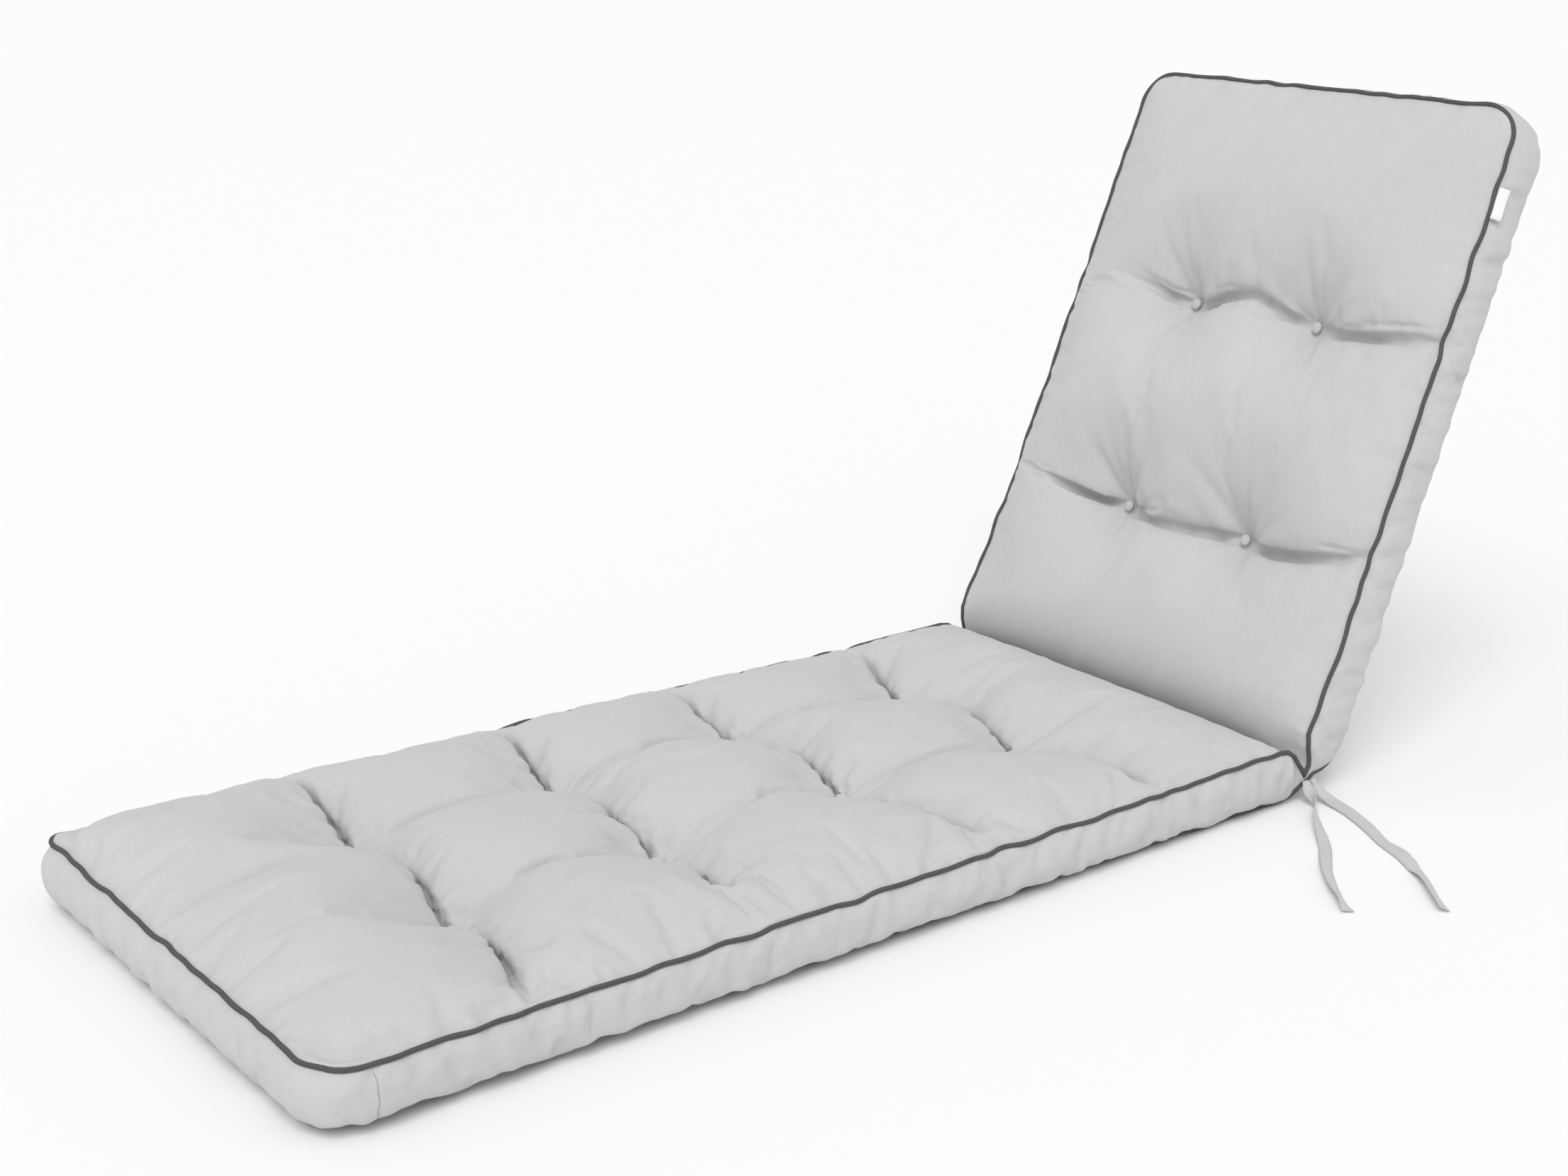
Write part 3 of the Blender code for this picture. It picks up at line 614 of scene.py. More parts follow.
class SeamLines:
    """The two piping lines round the cushion, with the small wander that real seams have."""

    def __init__(self, grid: CoverGrid) -> None:
        """Place both lines on a grid's outline."""
        self.form = grid.form
        self.s, self.y = grid.outline()
        self.outward = self.form.outward(self.s, self.y)
        self.travel = travel_round(self.form.seam(self.s, self.y, 1))
        self.top = self.wander(1, 11, 0.0013)
        self.bottom = self.wander(2, 23, 0.0007)

    def wander(self, column: int, seed: int, size: float) -> np.ndarray:
        """Return one seam's points, shifted a little up and in by a smooth random wave."""
        _, out = self.form.directions(self.s)
        calm = np.clip(np.abs(self.s) / 0.06, 0, 1)
        up = ripple(self.travel, seed, (0.045, 0.16)) * size * calm
        aside = ripple(self.travel, seed + 1, (0.035, 0.14)) * size * calm
        pinch = np.zeros_like(up)
        for row, _, shift in self.form.rows():
            place = row + self.form.row_shift(self.y, shift)
            near = np.exp(-(((self.s - place) / 0.014) ** 2)) * (np.abs(self.y) > 0.25)
            pinch += near * (0.0032 if column == 1 else 0.0)
        points = self.form.seam(self.s, self.y, column)
        inward = pinch + (self.form.tuck(self.s, self.outward) if column == 2 else 0.0)
        return points + out * up[:, None] + self.outward * (aside - inward)[:, None]

    def up(self, line: np.ndarray) -> np.ndarray:
        """Return the direction square to a seam and to its outward direction."""
        ahead, behind = turn(line)
        return unit(np.cross(self.outward, unit(ahead + behind)))


# Mesh helpers


def mesh_object(name: str, points: np.ndarray, faces: Faces) -> bpy.types.Object:
    """Make a mesh object at the origin and link it to the scene."""
    mesh = bpy.data.meshes.new(name)
    mesh.from_pydata([tuple(p) for p in points.tolist()], [], faces)
    mesh.update()
    obj = bpy.data.objects.new(name, mesh)
    bpy.context.scene.collection.objects.link(obj)
    return obj


def shade_smooth(obj: bpy.types.Object) -> None:
    """Shade every face of a mesh smooth."""
    obj.data.polygons.foreach_set("use_smooth", [True] * len(obj.data.polygons))
    obj.data.update()


def tube_faces(rings: int, sides: int, closed: bool = False) -> Faces:
    """Return the quads between neighbouring rings of points, and from the last to the first if closed."""
    faces = []
    for k in range(rings if closed else rings - 1):
        after = (k + 1) % rings
        for a in range(sides):
            b = (a + 1) % sides
            faces.append((k * sides + a, k * sides + b, after * sides + b, after * sides + a))
    return faces


def cloth_map(obj: bpy.types.Object, places: np.ndarray) -> None:
    """Give a mesh a UV map in metres of cloth, from one place for each vertex."""
    layer = obj.data.uv_layers.new(name="cloth")
    index = np.empty(len(obj.data.loops), np.int32)
    obj.data.loops.foreach_get("vertex_index", index)
    layer.data.foreach_set("uv", places[index].astype(np.float32).ravel())


# Cover

CLOTH_SETTINGS = {
    "quality": 6,
    "mass": 0.25,
    "tension_stiffness": 18,
    "compression_stiffness": 12,
    "shear_stiffness": 4,
    "bending_stiffness": 1.2,
    "tension_damping": 12,
    "compression_damping": 12,
    "shear_damping": 8,
    "air_damping": 4,
}


@dataclass
class Cover:
    """The sewn cover with its filling: two panels and the side band, simulated as cloth."""

    form: CushionForm
    finish: "ClothFinish"
    thread: bpy.types.Material
    join_at: float = -1.172
    sim_step: float = 0.0078
    frames: int = 26
    pressure: float = 5.0
    grow: float = 0.055
    cap: float = 0.018
    band_rows: int = 8
    button_hole: float = 0.009
    fold_hold: float = 0.8
    full_depth: float = 0.036  # of a fold that is held in full
    band_grow: float = 0.012

    def build(self) -> bpy.types.Object:
        """Make the cover, swell it as cloth, refine it and dress it."""
        grid = CoverGrid(self.form, self.sim_step, self.band_rows)
        seams = SeamLines(grid)
        top, band = self.start_shape(grid, seams)
        top, band = self.swell(grid, top, band)
        top = self.part_groove(*grid.grid(), top)
        obj = self.finished_mesh(grid, top, band)
        shade_smooth(obj)
        obj.data.materials.append(self.finish.material())
        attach(obj, "root")
        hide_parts("cushion")
        log.info("cover: %d faces", len(obj.data.polygons))
        return obj

    def start_shape(self, grid: CoverGrid, seams: SeamLines) -> tuple[np.ndarray, np.ndarray]:
        """Return the upper panel and the side band before they swell.

        Returns:
            The panel's points by line along and line across, and the band's points by row and outline place.
        """
        s, y = grid.grid()
        top = self.form.place(s, y, self.form.top_height(s, y))
        i, j = np.array(grid.loop).T
        up = seams.up(seams.top)
        down = seams.up(seams.bottom)
        top[i, j] = seams.top - seams.outward * 0.0012 - up * 0.0008
        tuck = self.form.tuck(seams.s, seams.outward)[:, None] * seams.outward
        low_end = seams.bottom + tuck + down * 0.0008
        tall = np.linalg.norm(top[i, j] - low_end, axis=1)
        full = np.clip((tall - 0.012) / 0.030, 0, 1)
        share = np.arange(1, grid.band_rows + 1) / grid.band_rows
        section = [np.array(table(BAND_SECTION, share, column)) for column in (1, 2, 3)]
        rows = []
        for out, tucked, down_share in zip(*section):
            line = top[i, j] + (low_end - top[i, j]) * down_share
            swell = (full * self.form.swelling(seams.s, seams.outward) * out)[:, None] * seams.outward
            rows.append(line + swell - tuck * tucked)
        return top, np.array(rows)

    def pins(self, grid: CoverGrid, s: np.ndarray, y: np.ndarray) -> np.ndarray:
        """Return how firmly each point of the upper panel is held, from 0 to 1."""
        held = np.zeros_like(s)
        for row, _, column in self.form.rows():
            off = np.abs(s - row - self.form.row_shift(y, column))
            depth = np.minimum(self.form.fold_depth(y, row) / self.full_depth, 1.0)
            held = np.maximum(held, self.fold_hold * depth * np.clip(1.7 - off / self.sim_step, 0, 1))
        for row, _, column in self.form.rows():
            for centre in self.form.centres(column):
                held[np.hypot(s - row, y - centre) < self.button_hole] = 1.0
        i, j = np.array(grid.loop).T
        held[i, j] = 1.0
        held[np.abs(s) < 0.004] = 1.0
        return held

    def growth(self, s: np.ndarray, y: np.ndarray) -> np.ndarray:
        """Return the spare cloth of the upper panel, as a share of its length."""
        side_room, end_room = self.form.room(s, y)
        edge = 0.35 + 0.65 * np.clip(np.minimum(side_room, end_room) / 0.035, 0, 1)
        fold = np.clip((np.abs(s) - 0.035) / 0.06, 0, 1)
        return self.grow * table(SPARE_CLOTH, s) * edge * fold

    def part_groove(self, s: np.ndarray, y: np.ndarray, top: np.ndarray) -> np.ndarray:
        """Keep the seat and the back on their own sides of the groove at the fold."""
        size = self.form.sizes
        lean = (pi + size.recline) / 2
        normal = np.array([-sin(lean), 0.0, cos(lean)])
        base = self.form.fold + np.array([0.0, 0.0, size.fold_z])
        away = (top - base) @ normal
        close = (np.abs(s) > 0.004) & (np.abs(s) < 0.12) & (self.form.room(s, y)[0] > 0.002)
        side = np.where(s < 0, 1.0, -1.0)
        depth = away * side
        wanted = (depth + np.sqrt(depth**2 + size.groove**2)) / 2
        shift = np.where(close, (wanted - depth) * side, 0.0)
        return top + shift[..., None] * normal

    def swell(self, grid: CoverGrid, top: np.ndarray, band: np.ndarray) -> tuple[np.ndarray, np.ndarray]:
        """Swell the cover with Blender's cloth, held at its seams and buttons.

        Returns:
            The swollen panel and band, in the shapes they came in.
        """
        n, m = top.shape[:2]
        count = len(grid.loop)
        points = np.concatenate([top.reshape(-1, 3), band.reshape(-1, 3)])
        edge = np.array([i * m + j for i, j in grid.loop])
        faces = self.panel_faces(n, m) + self.band_faces(edge, n * m, len(band))
        obj = mesh_object("cover_cloth", points, faces)
        s, y = grid.grid()
        held = np.concatenate([self.pins(grid, s, y).ravel(), np.zeros(len(band) * count)])
        held[n * m + (len(band) - 1) * count :] = 1.0
        outline_s, _ = grid.outline()
        for r in range(len(band)):
            held[n * m + r * count : n * m + (r + 1) * count][np.abs(outline_s) < 0.03] = 1.0
        group = obj.vertex_groups.new(name="held")
        for vertex in np.nonzero(held > 0)[0].tolist():
            group.add([vertex], float(held[vertex]), "REPLACE")
        growth = np.concatenate([self.growth(s, y).ravel(), np.full(len(band) * count, self.band_grow)])
        tight = obj.vertex_groups.new(name="tight")
        for vertex, share in enumerate((1 - growth / self.grow).tolist()):
            tight.add([vertex], share, "REPLACE")
        cloth = obj.modifiers.new("Cloth", "CLOTH")
        settings = cloth.settings
        for label, value in CLOTH_SETTINGS.items():
            setattr(settings, label, value)
        settings.shrink_min = -self.grow
        settings.shrink_max = 0.0
        settings.vertex_group_shrink = "tight"
        settings.use_pressure = True
        settings.uniform_pressure_force = self.pressure
        settings.vertex_group_mass = "held"
        settings.effector_weights.gravity = 0.0
        cloth.collision_settings.use_collision = False
        cloth.point_cache.frame_start = 1
        cloth.point_cache.frame_end = self.frames
        scene = bpy.context.scene
        for frame in range(1, self.frames + 1):
            scene.frame_set(frame)
        graph = bpy.context.evaluated_depsgraph_get()
        evaluated = obj.evaluated_get(graph)
        moved = np.empty(len(points) * 3, np.float32)
        evaluated.data.vertices.foreach_get("co", moved)
        shift = moved.reshape(-1, 3) - points
        reach = np.linalg.norm(shift, axis=1)
        shift *= (np.minimum(reach, self.cap) / np.maximum(reach, 1e-9))[:, None]
        log.info("cloth moved %.4f m at most, %.4f m on average", reach.max(), reach.mean())
        scene.frame_set(1)
        bpy.data.objects.remove(obj, do_unlink=True)
        result = points + shift
        return result[: n * m].reshape(n, m, 3), result[n * m :].reshape(len(band), count, 3)

    @staticmethod
    def panel_faces(n: int, m: int) -> Faces:
        """Return the quads of a grid of n by m points, facing up."""
        i, j = np.meshgrid(np.arange(n - 1), np.arange(m - 1), indexing="ij")
        a = (i * m + j).ravel()
        return list(map(tuple, np.stack([a, a + m, a + m + 1, a + 1], 1).tolist()))

    @staticmethod
    def band_faces(edge: np.ndarray, first: int, rows: int) -> Faces:
        """Return the quads of the side band.

        Args:
            edge: the vertex numbers of the panel's edge, which is the band's first row.
            first: the vertex number that the band's own rows start at.
            rows: how many rows of its own the band has.

        Returns:
            The quads, facing out.
        """
        count = len(edge)
        lines = [edge] + [first + r * count + np.arange(count) for r in range(rows)]
        faces = []
        for upper, lower in zip(lines, lines[1:]):
            quads = np.stack([upper, lower, np.roll(lower, -1), np.roll(upper, -1)], 1)
            faces += list(map(tuple, quads.tolist()))
        return faces

    def finished_mesh(self, grid: CoverGrid, top: np.ndarray, band: np.ndarray) -> bpy.types.Object:
        """Refine the swollen cover, close it with the lower panel and return it as one mesh."""
        fine_s, fine_y = refine(np.stack(grid.grid(), -1)).transpose(2, 0, 1)
        top = refine(top)
        n, m = top.shape[:2]
        loop = outline_of(n, m)
        i, j = np.array(loop).T
        rows = refine_band(top[i, j], band)
        top, rows = CoverDetail(self.form, fine_s, fine_y, loop).dressed(top, rows)
        points = np.concatenate([top.reshape(-1, 3), rows.reshape(-1, 3)])
        uv = np.stack([fine_s.ravel(), fine_y.ravel()], 1)
        edge_s, edge_y = fine_s[i, j], fine_y[i, j]
        outward = self.form.outward(edge_s, edge_y)
        flat = np.stack([(outward * self.form.directions(edge_s)[0]).sum(1), outward[:, 1]], 1)
        for r in range(len(rows)):
            depth = np.linalg.norm(rows[r] - top[i, j], axis=1)
            uv = np.concatenate([uv, np.stack([edge_s, edge_y], 1) + flat * depth[:, None]])
        edge = np.array([a * m + b for a, b in loop])
        faces = self.panel_faces(n, m) + self.band_faces(edge, n * m, len(rows))
        last_row = len(points) - len(loop) + np.arange(len(loop))
        points, uv, faces = self.close_below(points, uv, faces, fine_s, fine_y, loop, last_row)
        obj = mesh_object("cushion_cover", points, faces)
        cloth_map(obj, uv)
        self.join_line(rows, edge_s, edge_y)
        return obj

    def join_line(self, rows: np.ndarray, edge_s: np.ndarray, edge_y: np.ndarray) -> None:
        """Sew the upright join of the side band near the near foot corner."""
        far_penalty = np.where(edge_y < 0, 0.0, 9.0)
        column = int(np.argmin(np.abs(edge_s - self.join_at) + far_penalty))
        outward = self.form.outward(edge_s[[column]], edge_y[[column]])[0]
        line = rows[1:-2, column] + outward * 0.00025
        line[:, 0] += 0.0006 * np.sin(np.arange(len(line)) * 1.3)
        row = StitchRow.build("band_join_stitches", line, 0.0026, 0.0027, 0.00030, self.thread)
        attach(row, "root")

    def close_below(
        self,
        points: np.ndarray,
        uv: np.ndarray,
        faces: Faces,
        s: np.ndarray,
        y: np.ndarray,
        loop: list[tuple[int, int]],
        ring: np.ndarray,
    ) -> tuple[np.ndarray, np.ndarray, Faces]:
        """Add the lower panel on a coarser grid, joined to the band's last row.

        Args:
            points: the vertices so far.
            uv: the cloth place of each vertex.
            faces: the faces so far.
            s: the fine grid's distances along.
            y: the fine grid's distances across.
            loop: the fine grid's outline.
            ring: the vertex number of each outline point on the band's last row.

        Returns:
            The vertices, cloth places and faces with the lower panel added.
        """
        n, m = s.shape
        skip = 3
        along, across = self.coarse(n, skip), self.coarse(m, skip)
        ring_of = {cell: int(v) for cell, v in zip(loop, ring)}
        i, j = np.array(loop).T
        outward = self.form.outward(s[i, j], y[i, j])
        flat = np.stack([(outward * self.form.directions(s[i, j])[0]).sum(1), outward[:, 1]], 1)
        move = np.zeros((n, m, 2))
        move[i, j] = -flat * self.form.tuck(s[i, j], outward)[:, None]
        shift = follow_edges(s, y, move)
        low_s, low_y = s + shift[..., 0], y + shift[..., 1]
        below = self.form.place(low_s, low_y, self.form.bottom_height(low_s, low_y))
        inner = [(a, b) for a in along[1:-1] for b in across[1:-1]]
        number = {cell: len(points) + k for k, cell in enumerate(inner)}
        new_points = [below[cell] for cell in inner]
        new_uv = [(s[cell], y[cell] + 0.3) for cell in inner]
        corner = {**ring_of, **number}
        for a, b in zip(along, along[1:]):
            for c, d in zip(across, across[1:]):
                path = [(i, c) for i in range(b, a, -1)] if c == 0 else [(b, c)]
                path += [(a, j) for j in range(c, d)] if a == 0 else [(a, c)]
                path += [(i, d) for i in range(a, b)] if d == m - 1 else [(a, d)]
                path += [(b, j) for j in range(d, c, -1)] if b == n - 1 else [(b, d)]
                faces.append(tuple(dict.fromkeys(corner[cell] for cell in path)))
        points = np.concatenate([points, np.array(new_points)])
        return points, np.concatenate([uv, np.array(new_uv)]), faces

    @staticmethod
    def coarse(count: int, skip: int) -> list[int]:
        """Return every few of a count of lines, and the last, but none right beside the last."""
        return sorted({0, count - 1, *range(0, count - 2, skip)})


def follow_edges(s: np.ndarray, y: np.ndarray, move: np.ndarray) -> np.ndarray:
    """Fill a grid of shifts from those on its border, so that the inner points follow the border."""
    u = ((s - s[0, 0]) / (s[-1, 0] - s[0, 0]))[..., None]
    v = ((y - y[0, 0]) / (y[0, -1] - y[0, 0]))[..., None]
    corners = (1 - u) * (1 - v) * move[0, 0] + u * (1 - v) * move[-1, 0]
    corners += (1 - u) * v * move[0, -1] + u * v * move[-1, -1]
    ends = (1 - u) * move[:1] + u * move[-1:]
    return ends + (1 - v) * move[:, :1] + v * move[:, -1:] - corners


def midpoints(values: np.ndarray) -> np.ndarray:
    """Return values halfway between neighbours on the first axis, by a four-point curve."""
    inner = (9 * (values[1:-2] + values[2:-1]) - values[:-3] - values[3:]) / 16
    first = (3 * values[0] + 6 * values[1] - values[2]) / 8
    last = (3 * values[-1] + 6 * values[-2] - values[-3]) / 8
    return np.concatenate([first[None], inner, last[None]])


def refine(values: np.ndarray) -> np.ndarray:
    """Double the lines of a grid both ways."""
    for axis in (0, 1):
        moved = np.moveaxis(values, axis, 0)
        out = np.empty((moved.shape[0] * 2 - 1, *moved.shape[1:]))
        out[::2] = moved
        out[1::2] = midpoints(moved)
        values = np.moveaxis(out, 0, axis)
    return values


def refine_band(edge: np.ndarray, band: np.ndarray) -> np.ndarray:
    """Double the band's rows and columns. edge is the panel's refined edge, which is its first row."""
    count = band.shape[1]
    wide = np.empty((band.shape[0], count * 2, 3))
    wide[:, ::2] = band
    before, after = np.roll(band, 1, 1), np.roll(band, -1, 1)
    beyond = np.roll(band, -2, 1)
    wide[:, 1::2] = (9 * (band + after) - before - beyond) / 16
    tall = np.concatenate([edge[None], wide])
    out = np.empty((tall.shape[0] * 2 - 1, *tall.shape[1:]))
    out[::2] = tall
    out[1::2] = midpoints(tall)
    return out[1:]


@dataclass
class CoverDetail:
    """Small folds that sewing and filling leave: puckers at the seams, creases at the tufts, soft waves."""

    form: CushionForm
    s: np.ndarray
    y: np.ndarray
    loop: list[tuple[int, int]]
    pucker: float = 0.0012
    pucker_reach: float = 0.016
    rays: float = 0.0034
    long_rays: float = 0.0033
    wave: float = 0.0007
    band_fold: float = 0.0014
    fold_line: float = 0.0140
    fold_width: float = 0.0058
    fold_lean: float = 0.0110
    lean_reach: float = 0.014
    pleat_width: float = 0.0026
    pleat_ridge: float = 0.0036  # width of the ridge beside a pleat
    ridge_off: float = 0.0055
    calm_reach: float = 0.05  # how far from the fold the cloth lies calm

    def dressed(self, top: np.ndarray, rows: np.ndarray) -> tuple[np.ndarray, np.ndarray]:
        """Return the panel and the band with the small folds added along their normals."""
        i, j = np.array(self.loop).T
        along, across = np.gradient(top, axis=0), np.gradient(top, axis=1)
        top_normal = unit(np.cross(along, across))
        lift = self.panel_lift()
        lift[i, j] = 0.0
        moved = top + top_normal * lift[..., None]
        moved += self.form.directions(self.s)[0] * self.fold_shift()[..., None]
        tall = np.concatenate([top[i, j][None], rows])
        down = np.gradient(tall, axis=0)
        around = (np.roll(tall, -1, 1) - np.roll(tall, 1, 1)) / 2
        band_normal = unit(np.cross(down, around))[1:]
        band_lift = self.band_lift(rows, travel_round(top[i, j]))
        return moved, rows + band_normal * band_lift[..., None]

    def folds(self) -> list[tuple[np.ndarray, np.ndarray, bool]]:
        """Return each tuft row's distance past its fold, its strength, and whether it is on the seat."""
        found = []
        for row, _, column in self.form.rows():
            off = self.s - row - self.form.row_shift(self.y, column)
            strength = table(FOLD_PINCH, self.y, 1 if row < 0 else column - 3)
            strength = strength * self.form.near_fade(self.y, column)
            found.append((off, strength, row < 0))
        return found

    def fold_shift(self) -> np.ndarray:
        """Return how far each point moves along the cushion, so that puffs hang over the folds."""
        shift = np.zeros_like(self.s)
        for off, strength, on_seat in self.folds():
            way = 1.0 if on_seat else -1.0
            near = np.exp(-(((off * way + self.lean_reach) / self.lean_reach) ** 2))
            shift += way * self.fold_lean * strength * near
        return shift

    def pleats(self) -> np.ndarray:
        """Return how far each point moves out for the small pleats beside the back's tufts."""
        lift = np.zeros_like(self.s)
        columns = {row: column for row, _, column in self.form.rows()}
        for row, low, high, off_low, off_high, depth in PLEATS:
            share = (self.y - low) / (high - low)
            fade = np.clip(share / 0.15, 0, 1) * np.clip((1 - share) / 0.30, 0, 1)
            line = row + self.form.row_shift(self.y, columns[row]) + off_low + (off_high - off_low) * share
            off = self.s - line
            lift -= depth * fade * np.exp(-((off / self.pleat_width) ** 2))
            lift += 0.5 * depth * fade * np.exp(-(((off + self.ridge_off) / self.pleat_ridge) ** 2))
        return lift

    def panel_lift(self) -> np.ndarray:
        """Return how far each point of the upper panel moves out."""
        s, y = self.s, self.y
        side_room, end_room = self.form.room(s, y)
        calm = np.clip(np.abs(s) / self.calm_reach, 0, 1)
        near_side = np.exp(-side_room / self.pucker_reach) * np.clip(side_room / 0.005, 0, 1)
        near_end = np.exp(-end_room / self.pucker_reach) * np.clip(end_room / 0.005, 0, 1)
        seed = np.where(y > 0, 1.7, 0.0)
        puckers = ripple(s + seed, 31, (0.014, 0.045), 18) * near_side * calm
        puckers += ripple(y, 37, (0.014, 0.045), 18) * near_end
        lift = puckers * self.pucker
        for k, (row, _, column) in enumerate(self.form.rows()):
            for side, centre in enumerate(self.form.centres(column)):
                lift += self.tuft_rays(s - row, y - centre, 100 + 2 * k + side)
                if row > 0:
                    lift += self.hanging_rays(s - row, y - centre, 200 + 2 * k + side)
        for off, strength, _ in self.folds():
            lift -= self.fold_line * strength * np.exp(-((off / self.fold_width) ** 2))
        lift += self.pleats()
        slant = s + 0.25 * y
        inside = np.clip(side_room / 0.03, 0, 1)
        lift += ripple(y + 0.06 * np.sin(slant * 9.0), 41, (0.030, 0.090), 16) * self.wave * inside
        lift += ripple(slant, 43, (0.050, 0.160), 16) * self.wave * inside
        return lift

    def tuft_rays(self, ds: np.ndarray, dy: np.ndarray, seed: int) -> np.ndarray:
        """Return the creases that run out from one tuft."""
        rng = np.random.default_rng(seed)
        away = np.hypot(ds, dy)
        angle = np.arctan2(dy, ds)
        total = np.zeros_like(away)
        for k in range(9):
            middle = 2 * pi * (k + rng.uniform(-0.25, 0.25)) / 9
            reach = rng.uniform(0.026, 0.060)
            narrow = rng.uniform(0.10, 0.20)
            turned = np.angle(np.exp(1j * (angle - middle - rng.uniform(-3.0, 3.0) * away)))
            crease = np.exp(-((turned / narrow) ** 2)) * np.exp(-(((away - 0.018) / reach) ** 2))
            total -= crease * rng.uniform(0.5, 1.0)
        return total * self.rays * np.clip((away - 0.007) / 0.01, 0, 1)

    def hanging_rays(self, ds: np.ndarray, dy: np.ndarray, seed: int) -> np.ndarray:
        """Return the long soft creases that fan out above one of the back's tufts."""
        rng = np.random.default_rng(seed)
        away = np.hypot(ds, dy)
        angle = np.arctan2(dy, ds)
        total = np.zeros_like(away)
        for k in range(6):
            middle = radians(-75 + 30 * k + rng.uniform(-9, 9))
            turned = np.abs(angle - middle - rng.uniform(-2.0, 2.0) * away)
            reach = rng.uniform(0.045, 0.080)
            crease = np.exp(-((turned / rng.uniform(0.08, 0.13)) ** 2))
            total -= crease * np.exp(-(((away - 0.035) / reach) ** 2)) * rng.uniform(0.6, 1.0)
        return total * self.long_rays * np.clip((away - 0.010) / 0.02, 0, 1)

    def band_lift(self, rows: np.ndarray, travel: np.ndarray) -> np.ndarray:
        """Return how far each point of the side band moves out."""
        share = (np.arange(len(rows)) + 1) / len(rows)
        s = np.array([self.s[cell] for cell in self.loop])
        calm = np.clip(np.abs(s) / self.calm_reach, 0, 1)
        lift = np.zeros((len(rows), len(travel)))
        for r, at in enumerate(share):
            slanted = travel + 0.03 * at + 0.009 * np.sin(3 * at + travel * 14)
            upper = ripple(slanted, 51, (0.016, 0.060), 22) * np.exp(-(((at - 0.18) / 0.30) ** 2))
            lower = ripple(travel * 1.03 - 0.02 * at, 53, (0.020, 0.070), 22)
            lower = lower * np.exp(-(((at - 0.62) / 0.34) ** 2))
            sharp = np.abs(ripple(slanted * 0.97, 57, (0.050, 0.130), 12)) - 0.35
            held = calm * np.clip(at / 0.10, 0, 1) * np.clip((1 - at) / 0.15, 0, 1)
            lift[r] = (upper + lower + 0.8 * sharp) * self.band_fold * held
        return lift


# Shader groups


def new_group(name: str, sizes: dict[str, float], outputs: list[str]) -> bpy.types.ShaderNodeTree:
    """Make an empty shader node group with a place, sizes with their defaults, and outputs."""
    group = bpy.data.node_groups.new(name, "ShaderNodeTree")
    group.interface.new_socket(name="Place", in_out="INPUT", socket_type="NodeSocketVector")
    for label, value in sizes.items():
        socket = group.interface.new_socket(name=label, in_out="INPUT", socket_type="NodeSocketFloat")
        socket.default_value = value
    for label in outputs:
        group.interface.new_socket(name=label, in_out="OUTPUT", socket_type="NodeSocketFloat")
    return group


class NodeWriter:
    """Adds nodes to a tree and joins them."""

    def __init__(self, tree: bpy.types.NodeTree) -> None:
        """Keep the tree that the nodes go into."""
        self.tree = tree

    def node(self, kind: str, values: dict[str, object] | None = None, **settings: object) -> bpy.types.Node:
        """Add a node, set its properties, and set or join its inputs by name or number."""
        node = self.tree.nodes.new(kind)
        for key, value in settings.items():
            setattr(node, key, value)
        for key, value in (values or {}).items():
            socket = node.inputs[key]
            if isinstance(value, bpy.types.NodeSocket):
                self.tree.links.new(value, socket)
            else:
                socket.default_value = value
        return node

    def math(self, operation: str, *values: object) -> bpy.types.NodeSocket:
        """Add a Math node and return its output."""
        return self.node("ShaderNodeMath", dict(enumerate(values)), operation=operation).outputs[0]

    def group(self, tree: bpy.types.NodeTree, values: dict[str, object]) -> bpy.types.bpy_prop_collection:
        """Add a node group with its inputs and return its outputs."""
        return self.node("ShaderNodeGroup", values, node_tree=tree).outputs

    def product(self, *values: object) -> bpy.types.NodeSocket:
        """Multiply two vectors, axis by axis."""
        values = dict(enumerate(values))
        return self.node("ShaderNodeVectorMath", values, operation="MULTIPLY").outputs[0]


def slub_group() -> bpy.types.ShaderNodeTree:
    """Melange yarn: fine streaks of lighter and darker thread along the cloth, and short slubs."""
    group = new_group("Slub yarn", {"Streak length": 0.030, "Thread width": 0.0011}, ["Tone", "Slubs"])
    make = NodeWriter(group)
    given = make.node("NodeGroupInput").outputs
    length = make.math("DIVIDE", 1.0, given["Streak length"])
    width = make.math("DIVIDE", 1.0, given["Thread width"])
    scale = make.node("ShaderNodeCombineXYZ", {"X": length, "Y": width, "Z": 1.0}).outputs[0]
    scaled = make.product(given["Place"], scale)
    fine = make.node("ShaderNodeTexNoise", {"Vector": scaled, "Scale": 1.0, "Detail": 2.5, "Roughness": 0.6})
    short = make.product(scaled, (3.1, 0.62, 1.0))
    spots = make.node("ShaderNodeTexNoise", {"Vector": short, "Scale": 1.0, "Detail": 1.0})
    slubs = make.node(
        "ShaderNodeMapRange",
        {"Value": spots.outputs[0], "From Min": 0.62, "From Max": 0.78, "To Min": 0.0, "To Max": 1.0},
    ).outputs[0]
    out = make.node("NodeGroupOutput")
    group.links.new(fine.outputs[0], out.inputs["Tone"])
    group.links.new(slubs, out.inputs["Slubs"])
    return group


